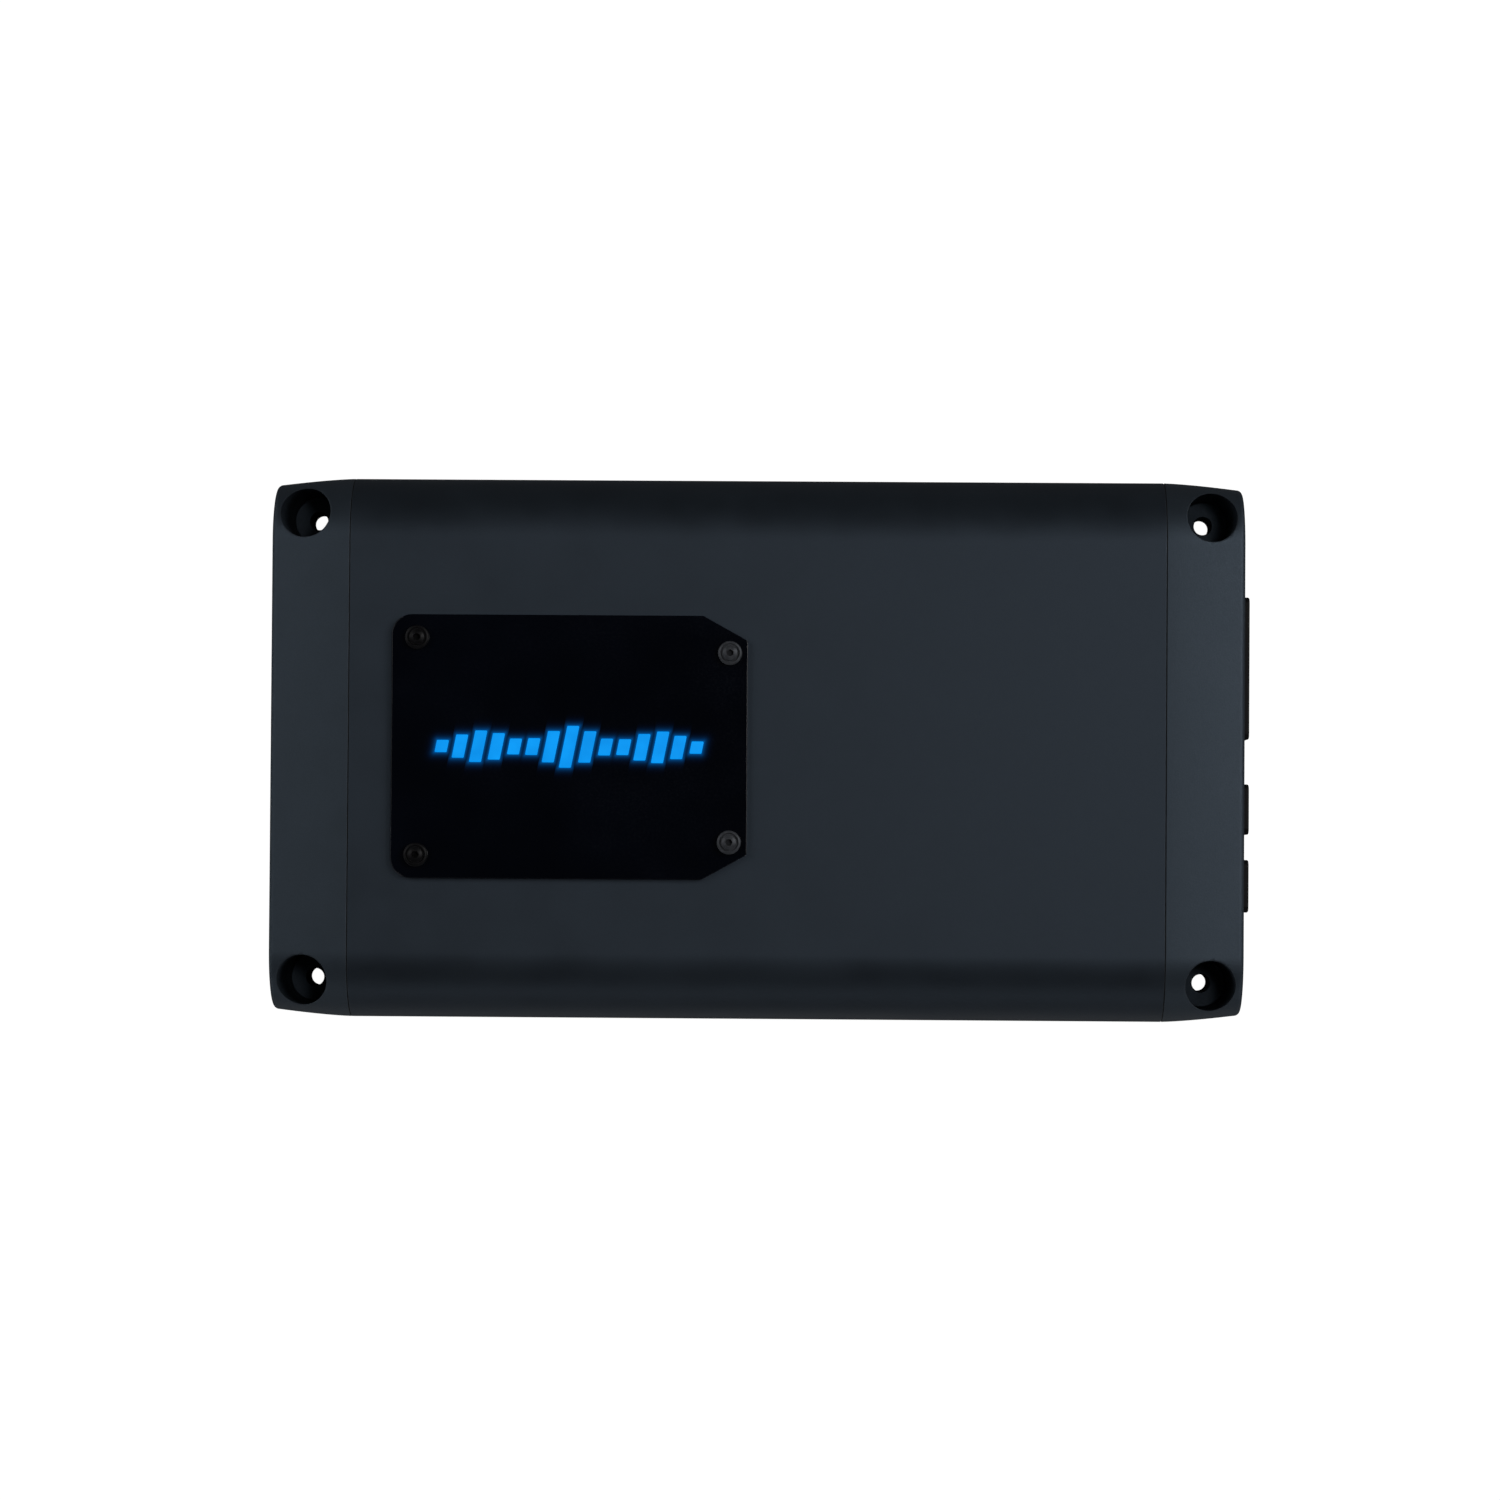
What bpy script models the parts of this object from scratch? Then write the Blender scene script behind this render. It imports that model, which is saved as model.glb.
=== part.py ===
"""A compact car amplifier, built as an assembly of its separate pieces.

An extruded aluminium housing runs along X, with a die-cast end cap and a gasket on each end. A badge plate
with a lit emblem is screwed on its top. The dials and switches sit in the window of the left end cap, and
the power and signal connectors stick out of the right one. Each end cap has two counterbored holes that
screw the amplifier down. Z = 0 is the surface that the end caps stand on.
"""

import math

import bmesh
import bpy
from mathutils import Matrix, Vector

MM = 0.001
GAP = 0.3 * MM  # clearance between pieces that touch

# Housing, end to end
LENGTH = 220 * MM
WIDTH = 122.8 * MM
HEIGHT = 45 * MM
SHOULDER_RADIUS = 15 * MM
CAP_LENGTH = 17.3 * MM
SEAM = 1.0 * MM
END_X = LENGTH / 2
CAP_X = END_X - CAP_LENGTH
BODY_X = CAP_X - SEAM
ARC_STEPS = 10

# Extrusion section
BODY_BOTTOM = 0.9 * MM
WALL = 3.5 * MM
ROOF = 5 * MM
GROOVE_BOTTOMS = (9 * MM, 15 * MM, 21 * MM)
GROOVE_HEIGHT = 2.4 * MM
GROOVE_DEPTH = 1.2 * MM
PLATE_THICKNESS = 1.4 * MM
LIP_BOTTOM = BODY_BOTTOM + PLATE_THICKNESS + GAP
LIP_TOP = 5.6 * MM
RAIL_DEPTH = 3.5 * MM
RAIL_TOP = 8.7 * MM
RAIL_CAP = 1.8 * MM

# Screws
M3_RADIUS = 1.5 * MM
M3_CLEARANCE = M3_RADIUS + GAP
CHANNEL_RADIUS = 3 * MM
CAP_SCREW_Y = 40 * MM
CAP_SCREW_LOW_Z = LIP_BOTTOM + CHANNEL_RADIUS
CAP_SCREW_HIGH_Z = HEIGHT - ROOF - 2.4 * MM
CAP_SCREW_SINK = 2.6 * MM
CAP_SCREW_SINK_RADIUS = 3.2 * MM
PLATE_SCREW_X = 80 * MM
PLATE_SCREW_Y = 50 * MM

# Mounting holes through the end caps
MOUNT_X = 102.55 * MM
MOUNT_Y = 52.9 * MM
MOUNT_HOLE_RADIUS = 2 * MM
MOUNT_WELL_RADIUS = 5.7 * MM
MOUNT_SEAT_Z = 12 * MM

# End cap cavity
CAVITY_Y = 43.5 * MM
CAVITY_LOW = 3 * MM
CAVITY_HIGH = 41 * MM
BOSS_Y = 36.2 * MM
BOSS_LOW_TOP = 8.6 * MM
BOSS_HIGH_BOTTOM = 33.6 * MM
END_WALL = 3 * MM

# Badge on the top face
BADGE_LEFT = -82.3 * MM
BADGE_RIGHT = -2.1 * MM
BADGE_HALF_WIDTH = 29.7 * MM
BADGE_CORNER_RADIUS = 4.5 * MM
BADGE_CHAMFER = (10.1 * MM, 5.6 * MM)
BADGE_THICKNESS = 1.6 * MM
BADGE_EDGE = 0.3 * MM
BADGE_BOTTOM = HEIGHT + GAP
BADGE_TOP = BADGE_BOTTOM + BADGE_THICKNESS
BADGE_SCREWS = (
    (-76.6 * MM, -24.5 * MM),
    (-76.6 * MM, 24.5 * MM),
    (-6.1 * MM, -21.3 * MM),
    (-6.1 * MM, 21.3 * MM),
)
EMBLEM_X = -42.2 * MM
EMBLEM_SIDE_BARS = 7
EMBLEM_PITCH = 4.1 * MM
EMBLEM_BAR_WIDTH = 2.6 * MM
EMBLEM_SLANT = 0.2
EMBLEM_BASE = 3.2 * MM
EMBLEM_SWING = 1.45 * MM
EMBLEM_BEAT = 5
EMBLEM_FADE = 20
POCKET_HALF = (32 * MM, 6.6 * MM)
POCKET_DEPTH = 3.5 * MM

# Controls in the left end cap
WINDOW_Y = 33 * MM
WINDOW_LOW = 11 * MM
WINDOW_HIGH = 35 * MM
COLLAR_WALL = 2.4 * MM
PANEL_FRONT = -100.5 * MM
PANEL_THICKNESS = 1.6 * MM
PANEL_BACK = PANEL_FRONT + PANEL_THICKNESS
KNOB_Z = 28 * MM
KNOB_YS = (16.5 * MM, 4 * MM, -8.5 * MM, -21 * MM)
KNOB_RADIUS = 4.3 * MM
KNOB_HEIGHT = 4.4 * MM
SHAFT_RADIUS = 2 * MM
SHAFT_BORE = SHAFT_RADIUS + 0.4 * MM
SHAFT_LENGTH = 6.3 * MM
POT_HALF = 4.8 * MM
POT_DEPTH = 5.6 * MM
SWITCH_Z = 16 * MM
SWITCHES = (
    # centre Y, the lever's place from it at rest, and how far the lever reaches to each side
    (10 * MM, 0, 2 * MM),
    (-14 * MM, -1.5 * MM, 1.5 * MM),
)
SWITCH_BODY_HALF = (5.2 * MM, 2.9 * MM)
LEVER_HALF = (1.3 * MM, 1.0 * MM)
LIGHT_Y = 28 * MM
LIGHT_ZS = {"power_light_pipe": 28 * MM, "protect_light_pipe": 16 * MM}
LIGHT_RADIUS = 1.5 * MM

# Connectors in the right end cap
CONNECTOR_PROTRUSION = 2.1 * MM
CONNECTOR_LOW = 14 * MM
CONNECTOR_HIGH = 30 * MM
CONNECTOR_WALL = 1.5 * MM
CONNECTOR_BACK = 95 * MM
CONNECTORS = (
    # name, centre Y, width, rows of contacts, contacts in a row
    ("power", 19.3 * MM, 32.5 * MM, 2, 6),
    ("signal", -12.9 * MM, 11.5 * MM, 2, 3),
    ("remote", -30.4 * MM, 12 * MM, 2, 2),
)
CONTACT_HALF = 0.6 * MM
CONTACT_FRONT = 105 * MM

# Circuit board
BOARD_BOTTOM = 9 * MM
BOARD_TOP = BOARD_BOTTOM + 1.6 * MM
ON_BOARD = BOARD_TOP + GAP

# The origin is the middle of the whole outline, connectors included
CENTRE_SHIFT = -CONNECTOR_PROTRUSION / 2


def clear_scene():
    for obj in list(bpy.data.objects):
        bpy.data.objects.remove(obj, do_unlink=True)


def material(name, colour, roughness, metallic=0.0):
    mat = bpy.data.materials.new(name)
    mat.use_nodes = True
    shader = mat.node_tree.nodes["Principled BSDF"]
    shader.inputs["Base Color"].default_value = (*colour, 1)
    shader.inputs["Roughness"].default_value = roughness
    shader.inputs["Metallic"].default_value = metallic
    mat.diffuse_color = (*colour, 1)
    return mat


def add(name, shape, mat, location=(0, 0, 0), turn=None):
    """Add a bmesh to the assembly as one named piece."""
    bmesh.ops.recalc_face_normals(shape, faces=shape.faces)
    mesh = bpy.data.meshes.new(name)
    shape.to_mesh(mesh)
    shape.free()
    mesh.materials.append(mat)
    mesh.shade_smooth()
    mesh.set_sharp_from_angle(angle=math.radians(32))
    return place(name, mesh, location, turn)


def place(name, mesh, location=(0, 0, 0), turn=None):
    """Place a mesh under the assembly's empty."""
    obj = bpy.data.objects.new(name, mesh)
    bpy.context.scene.collection.objects.link(obj)
    obj.parent = bpy.data.objects["amplifier"]
    obj.location = location
    if turn:
        obj.rotation_euler = turn
    return obj


def join(shapes):
    """Put several bmeshes into one."""
    joined = bmesh.new()
    for shape in shapes:
        mesh = bpy.data.meshes.new("joined")
        bmesh.ops.recalc_face_normals(shape, faces=shape.faces)
        shape.to_mesh(mesh)
        shape.free()
        joined.from_mesh(mesh)
        bpy.data.meshes.remove(mesh)
    return joined


def combine(obj, operation, shapes):
    """Cut bmeshes out of a piece, or unite them with it. The tool's shapes don't overlap each other."""
    name = f"{obj.name}_{operation.lower()}_{len(obj.modifiers)}"
    tool = add(name, join(shapes), obj.data.materials[0])
    tool.hide_render = True
    tool.display_type = "WIRE"
    boolean = obj.modifiers.new(operation.lower(), "BOOLEAN")
    boolean.operation = operation
    boolean.object = tool


def cut(obj, *shapes):
    combine(obj, "DIFFERENCE", shapes)


def unite(obj, *shapes):
    combine(obj, "UNION", shapes)


def box(low, high):
    """A box between two opposite corners."""
    shape = bmesh.new()
    size = Vector(high) - Vector(low)
    centre = (Vector(high) + Vector(low)) / 2
    matrix = Matrix.Translation(centre) @ Matrix.Diagonal((*size, 1))
    bmesh.ops.create_cube(shape, size=1, matrix=matrix)
    return shape


def prism_x(points, x0, x1):
    """Extrude a (y, z) outline along X."""
    return loft([[(x, y, z) for y, z in points] for x in (x0, x1)])


def prism_z(points, z0, z1):
    """Extrude an (x, y) outline along Z."""
    return loft([[(x, y, z) for x, y in points] for z in (z0, z1)])


def loft(sections, closed=True):
    """Skin sections that have the same number of points, and fill the two ends."""
    shape = bmesh.new()
    rings = [[shape.verts.new(point) for point in section] for section in sections]
    for ring, following in zip(rings, rings[1:]):
        count = len(ring)
        for i in range(count):
            j = (i + 1) % count
            shape.faces.new((ring[i], ring[j], following[j], following[i]))
    if closed:
        shape.faces.new(rings[0])
        shape.faces.new(rings[-1])
    return shape


def frame_x(outer, inner, x0, x1):
    """Extrude the band between two (y, z) outlines along X."""
    sections = []
    for x, points in ((x0, outer), (x1, outer), (x1, inner), (x0, inner)):
        sections.append([(x, y, z) for y, z in points])
    shape = loft(sections + [sections[0]], closed=False)
    bmesh.ops.remove_doubles(shape, verts=shape.verts, dist=0.001 * MM)
    return shape


def arc(centre, radius, start, end, steps):
    """Points on an arc, with its angles in degrees."""
    points = []
    for i in range(steps + 1):
        angle = math.radians(start + (end - start) * i / steps)
        points.append((centre[0] + radius * math.cos(angle), centre[1] + radius * math.sin(angle)))
    return points


def rounded_rectangle(a0, a1, b0, b1, radius, steps=4):
    points = arc((a1 - radius, b1 - radius), radius, 0, 90, steps)
    points += arc((a0 + radius, b1 - radius), radius, 90, 180, steps)
    points += arc((a0 + radius, b0 + radius), radius, 180, 270, steps)
    points += arc((a1 - radius, b0 + radius), radius, 270, 360, steps)
    return points


def turned(profile, segments=24):
    """Turn a profile of (radius, z, kind) about Z. A hex ring's radius is half its width across flats."""
    sections = []
    for radius, z, kind in profile:
        section = []
        for i in range(segments):
            angle = 2 * math.pi * i / segments
            reach = radius
            if kind == "hex":
                reach = radius / math.cos(angle % (math.pi / 3) - math.pi / 6)
            elif kind == "fluted" and i % 2:
                reach = radius * 0.93
            section.append((reach * math.cos(angle), reach * math.sin(angle), z))
        sections.append(section)
    return loft(sections)


def cylinder_z(radius, x, y, z0, z1, segments=24):
    shape = turned([(radius, z0, "round"), (radius, z1, "round")], segments)
    bmesh.ops.translate(shape, verts=shape.verts, vec=(x, y, 0))
    return shape


def turn_to_x(shape, x, y, z, side):
    """Lay a shape that was turned about Z along X, its top facing the given side."""
    bmesh.ops.rotate(shape, verts=shape.verts, matrix=Matrix.Rotation(side * math.pi / 2, 3, "Y"))
    bmesh.ops.translate(shape, verts=shape.verts, vec=(x, y, z))
    return shape


def cylinder_x(radius, y, z, x0, x1, segments=24):
    shape = turned([(radius, 0, "round"), (radius, x1 - x0, "round")], segments)
    return turn_to_x(shape, x0, y, z, 1)


def housing_outline(inset=0.0, bottom=0.0):
    """The housing's outer (y, z) outline, or one that lies inside it by the inset."""
    radius = SHOULDER_RADIUS - inset
    centre_y = WIDTH / 2 - SHOULDER_RADIUS
    centre_z = HEIGHT - SHOULDER_RADIUS
    side = WIDTH / 2 - inset
    points = [(side, bottom)]
    points += arc((centre_y, centre_z), radius, 0, 90, ARC_STEPS)
    points += arc((-centre_y, centre_z), radius, 90, 180, ARC_STEPS)
    points.append((-side, bottom))
    return points


def screw_channel(centre, entry, mouth, leave):
    """The outline of an open screw channel, between the angles where the wall meets it."""
    half_mouth = 35
    near = mouth - half_mouth
    far = mouth + half_mouth - 360
    points = arc(centre, CHANNEL_RADIUS, entry, near, 5)
    points += arc(centre, M3_CLEARANCE, near, far, 12)
    points += arc(centre, CHANNEL_RADIUS, far, leave, 5)
    return points


def extrusion_outline():
    """The (y, z) section of the U-shaped extrusion, with rails, lips and screw channels inside."""
    half = WIDTH / 2
    outer = [(half, BODY_BOTTOM)]
    for bottom in GROOVE_BOTTOMS:
        slope = GROOVE_DEPTH / 2
        outer.append((half, bottom))
        outer.append((half - GROOVE_DEPTH, bottom + slope))
        outer.append((half - GROOVE_DEPTH, bottom + GROOVE_HEIGHT - slope))
        outer.append((half, bottom + GROOVE_HEIGHT))
    outer += arc((half - SHOULDER_RADIUS, HEIGHT - SHOULDER_RADIUS), SHOULDER_RADIUS, 0, 90, ARC_STEPS)

    inside = half - WALL
    ceiling = HEIGHT - ROOF
    corner = 10 * MM
    rail = inside - RAIL_DEPTH
    slot_top = BOARD_TOP + GAP
    high_angle = math.degrees(math.asin((ceiling - CAP_SCREW_HIGH_Z) / CHANNEL_RADIUS))
    inner = screw_channel((CAP_SCREW_Y, CAP_SCREW_HIGH_Z), 180 - high_angle, 270, high_angle)
    inner += reversed(arc((inside - corner, ceiling - corner), corner, 0, 90, 6))
    inner += [
        (inside, slot_top + RAIL_CAP),
        (rail, slot_top + RAIL_CAP),
        (rail, slot_top),
        (inside, slot_top),
        (inside, RAIL_TOP),
        (rail, RAIL_TOP),
        (rail, LIP_TOP),
    ]
    low_angle = math.degrees(math.asin((LIP_TOP - CAP_SCREW_LOW_Z) / CHANNEL_RADIUS))
    inner += screw_channel((CAP_SCREW_Y, CAP_SCREW_LOW_Z), low_angle, 180, -90)
    inner += [(inside, LIP_BOTTOM), (inside, BODY_BOTTOM)]

    mirrored_outer = [(-y, z) for y, z in reversed(outer)]
    mirrored_inner = [(-y, z) for y, z in reversed(inner)]
    return outer + mirrored_outer + mirrored_inner + inner


def make_housing(painted):
    body = add("heatsink_body", prism_x(extrusion_outline(), -BODY_X, BODY_X), painted)
    pocket = box(
        (EMBLEM_X - POCKET_HALF[0], -POCKET_HALF[1], HEIGHT - POCKET_DEPTH),
        (EMBLEM_X + POCKET_HALF[0], POCKET_HALF[1], HEIGHT + 5 * MM),
    )
    holes = [pocket]
    for x, y in BADGE_SCREWS:
        holes.append(cylinder_z(M3_CLEARANCE, x, y, HEIGHT - ROOF - 2 * MM, HEIGHT + 5 * MM, 16))
    for x in (-PLATE_SCREW_X, PLATE_SCREW_X):
        for y in (-PLATE_SCREW_Y, PLATE_SCREW_Y):
            holes.append(cylinder_z(M3_CLEARANCE, x, y, LIP_BOTTOM - 1 * MM, LIP_TOP + 1 * MM, 16))
    cut(body, *holes)
    wire_hole = cylinder_z(1.5 * MM, EMBLEM_X, 0, HEIGHT - ROOF - 2 * MM, HEIGHT - POCKET_DEPTH + 1 * MM, 12)
    cut(body, wire_hole)


def make_bottom_plate(steel, screw_metal):
    half_y = WIDTH / 2 - WALL - GAP
    plate_top = BODY_BOTTOM + PLATE_THICKNESS
    plate = add(
        "bottom_plate",
        box((-BODY_X + GAP, -half_y, BODY_BOTTOM), (BODY_X - GAP, half_y, plate_top)),
        steel,
    )
    sinks = []
    screw = turned(
        [
            (M3_RADIUS, -6.5 * MM, "round"),
            (M3_RADIUS, -1.25 * MM, "round"),
            (2.75 * MM, 0, "round"),
            (1.0 * MM, 0, "hex"),
            (1.0 * MM, -0.9 * MM, "hex"),
        ],
        12,
    )
    screw_mesh = None
    places = [(x, y) for x in (-PLATE_SCREW_X, PLATE_SCREW_X) for y in (-PLATE_SCREW_Y, PLATE_SCREW_Y)]
    for number, (x, y) in enumerate(places, 1):
        sink = turned(
            [
                (3.15 * MM, BODY_BOTTOM - 1 * MM, "round"),
                (3.15 * MM, BODY_BOTTOM, "round"),
                (M3_CLEARANCE, BODY_BOTTOM + 1.35 * MM, "round"),
                (M3_CLEARANCE, plate_top + 1 * MM, "round"),
            ],
            16,
        )
        bmesh.ops.translate(sink, verts=sink.verts, vec=(x, y, 0))
        sinks.append(sink)
        name = f"bottom_plate_screw_{number}"
        location = (x, y, BODY_BOTTOM + 0.05 * MM)
        if screw_mesh:
            place(name, screw_mesh, location, (math.pi, 0, 0))
        else:
            screw_mesh = add(name, screw, screw_metal, location, (math.pi, 0, 0)).data
    cut(plate, *sinks)


def cap_sections(side):
    """Sections of an end cap: a slightly crowned taper, then the rounded edge of its end face."""
    taper = 1.5 * MM
    edge = 1.2 * MM
    straight = CAP_LENGTH - edge
    sections = []
    for step in range(5):
        along = step / 4
        sections.append((CAP_X + straight * along, taper * along**1.4))
    for step in range(1, 4):
        angle = math.pi / 2 * step / 3
        sections.append((CAP_X + straight + edge * math.sin(angle), taper + edge * (1 - math.cos(angle))))
    return [[(side * x, y, z) for y, z in housing_outline(inset)] for x, inset in sections]


def cavity_outline():
    """The (y, z) outline of an end cap's hollow, notched round the four screw bosses."""
    half = [
        (BOSS_Y, CAVITY_LOW),
        (BOSS_Y, BOSS_LOW_TOP),
        (CAVITY_Y, BOSS_LOW_TOP),
        (CAVITY_Y, BOSS_HIGH_BOTTOM),
        (BOSS_Y, BOSS_HIGH_BOTTOM),
        (BOSS_Y, CAVITY_HIGH),
    ]
    return half + [(-y, z) for y, z in reversed(half)]


def make_cap(name, side, painted):
    """An end cap with its cavity, its mounting holes and its screw holes."""
    cap = add(name, loft(cap_sections(side)), painted)
    mouth = side * (CAP_X - 2 * MM)
    cut(cap, prism_x(cavity_outline(), mouth, side * (END_X - END_WALL)))
    if side < 0:
        collar = box(
            (-(END_X - END_WALL + 0.5 * MM), -WINDOW_Y - COLLAR_WALL, WINDOW_LOW - COLLAR_WALL),
            (PANEL_FRONT - GAP, WINDOW_Y + COLLAR_WALL, WINDOW_HIGH + COLLAR_WALL),
        )
        unite(cap, collar)
    holes = []
    for y in (-MOUNT_Y, MOUNT_Y):
        well = turned(
            [
                (MOUNT_HOLE_RADIUS, -2 * MM, "round"),
                (MOUNT_HOLE_RADIUS, MOUNT_SEAT_Z, "round"),
                (MOUNT_WELL_RADIUS, MOUNT_SEAT_Z, "round"),
                (MOUNT_WELL_RADIUS, HEIGHT + 2 * MM, "round"),
            ],
            32,
        )
        bmesh.ops.translate(well, verts=well.verts, vec=(side * MOUNT_X, y, 0))
        holes.append(well)
    for y in (-CAP_SCREW_Y, CAP_SCREW_Y):
        for z in (CAP_SCREW_LOW_Z, CAP_SCREW_HIGH_Z):
            sink = turned(
                [
                    (M3_CLEARANCE, -CAP_LENGTH - 2 * MM, "round"),
                    (M3_CLEARANCE, -CAP_SCREW_SINK, "round"),
                    (CAP_SCREW_SINK_RADIUS, -CAP_SCREW_SINK, "round"),
                    (CAP_SCREW_SINK_RADIUS, 2 * MM, "round"),
                ],
                16,
            )
            holes.append(turn_to_x(sink, side * END_X, y, z, side))
    if side < 0:
        window = rounded_rectangle(-WINDOW_Y, WINDOW_Y, WINDOW_LOW, WINDOW_HIGH, 2 * MM)
        holes.append(prism_x(window, -END_X - 2 * MM, PANEL_FRONT + 1 * MM))
    else:
        for _, y, width, _, _ in CONNECTORS:
            half = width / 2 + GAP
            low = CONNECTOR_LOW - GAP
            opening = rounded_rectangle(y - half, y + half, low, CONNECTOR_HIGH + GAP, 1.5 * MM)
            holes.append(prism_x(opening, END_X - END_WALL - 2 * MM, END_X + 2 * MM))
    cut(cap, *holes)


def make_cap_screws(screw_metal):
    screw = turned(
        [
            (M3_RADIUS, -20 * MM, "round"),
            (M3_RADIUS, 0, "round"),
            (2.75 * MM, 0, "round"),
            (2.75 * MM, 1.3 * MM, "round"),
            (2.2 * MM, 1.9 * MM, "round"),
            (1.0 * MM, 1.9 * MM, "hex"),
            (1.0 * MM, 0.7 * MM, "hex"),
        ],
        12,
    )
    mesh = None
    heights = (CAP_SCREW_LOW_Z, CAP_SCREW_HIGH_Z)
    places = [(y, z) for y in (-CAP_SCREW_Y, CAP_SCREW_Y) for z in heights]
    for end, side in (("left", -1), ("right", 1)):
        for number, (y, z) in enumerate(places, 1):
            name = f"{end}_cap_screw_{number}"
            location = (side * (END_X - CAP_SCREW_SINK + GAP), y, z)
            turn = (0, side * math.pi / 2, 0)
            if mesh:
                place(name, mesh, location, turn)
            else:
                mesh = add(name, screw, screw_metal, location, turn).data


def make_gasket(name, side, rubber):
    outer = housing_outline(0.5 * MM, BODY_BOTTOM + 0.2 * MM)
    inner = housing_outline(3.3 * MM, CAVITY_LOW + GAP)
    add(name, frame_x(outer, inner, side * (BODY_X + GAP), side * (CAP_X - GAP)), rubber)


def badge_outline(inset=0.0):
    """The plate's (x, y) outline: round corners on the left, long chamfers on the right."""
    chamfer_x, chamfer_y = BADGE_CHAMFER
    side = BADGE_HALF_WIDTH - inset
    right = BADGE_RIGHT - inset
    slope = math.hypot(chamfer_x, chamfer_y)
    trim_x = inset * (slope - chamfer_x) / chamfer_y
    trim_y = inset * (slope - chamfer_y) / chamfer_x
    centre = (BADGE_LEFT + BADGE_CORNER_RADIUS, BADGE_HALF_WIDTH - BADGE_CORNER_RADIUS)
    upper = [
        (right, BADGE_HALF_WIDTH - chamfer_y - trim_y),
        (BADGE_RIGHT - chamfer_x - trim_x, side),
    ]
    upper += arc(centre, BADGE_CORNER_RADIUS - inset, 90, 180, 6)
    return upper + [(x, -y) for x, y in reversed(upper)]


def emblem_bars(grow, z0, z1):
    """The emblem: a row of slanted bars whose heights rise and fall like a sound wave."""
    half_width = EMBLEM_BAR_WIDTH / 2 + grow
    bars = []
    for index in range(-EMBLEM_SIDE_BARS, EMBLEM_SIDE_BARS + 1):
        x = EMBLEM_X + index * EMBLEM_PITCH
        swell = EMBLEM_BASE + EMBLEM_SWING * math.cos(2 * math.pi * index / EMBLEM_BEAT)
        reach = swell * (1 - abs(index) / EMBLEM_FADE) + grow
        lean = EMBLEM_SLANT * reach
        outline = [
            (x - half_width - lean, -reach),
            (x + half_width - lean, -reach),
            (x + half_width + lean, reach),
            (x - half_width + lean, reach),
        ]
        bars.append(prism_z(outline, z0, z1))
    return bars


def make_badge(acrylic, light, board_green, screw_metal):
    rim_z = BADGE_TOP - BADGE_EDGE
    sections = [(0, BADGE_BOTTOM), (0, rim_z), (BADGE_EDGE, BADGE_TOP)]
    shape = loft([[(x, y, z) for x, y in badge_outline(inset)] for inset, z in sections])
    plate = add("badge_plate", shape, acrylic)
    openings = emblem_bars(GAP, BADGE_BOTTOM - 1 * MM, BADGE_TOP + 1 * MM)
    for x, y in BADGE_SCREWS:
        openings.append(cylinder_z(M3_CLEARANCE, x, y, BADGE_BOTTOM - 1 * MM, BADGE_TOP + 1 * MM, 16))
    cut(plate, *openings)

    half_x, half_y = (half - 2 * GAP for half in POCKET_HALF)
    floor = HEIGHT - POCKET_DEPTH
    board_top = floor + GAP + 1 * MM
    guide_top = BADGE_BOTTOM - 2 * GAP
    board = box((EMBLEM_X - half_x, -half_y, floor + GAP), (EMBLEM_X + half_x, half_y, board_top))
    add("badge_led_board", board, board_green)
    slab = box((EMBLEM_X - half_x, -half_y, board_top + GAP), (EMBLEM_X + half_x, half_y, guide_top))
    guide = add("badge_light_guide", slab, light)
    unite(guide, *emblem_bars(0, guide_top - 0.5 * MM, BADGE_TOP - 0.1 * MM))

    screw = turned(
        [
            (M3_RADIUS, -10 * MM, "round"),
            (M3_RADIUS, 0, "round"),
            (2.7 * MM, 0, "round"),
            (2.7 * MM, 0.4 * MM, "round"),
            (2.35 * MM, 1.05 * MM, "round"),
            (1.7 * MM, 1.5 * MM, "round"),
            (1.0 * MM, 1.65 * MM, "hex"),
            (1.0 * MM, 0.6 * MM, "hex"),
        ],
    )
    mesh = None
    for number, (x, y) in enumerate(BADGE_SCREWS, 1):
        name = f"badge_screw_{number}"
        location = (x, y, BADGE_TOP + GAP)
        if mesh:
            place(name, mesh, location)
        else:
            mesh = add(name, screw, screw_metal, location).data


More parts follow.
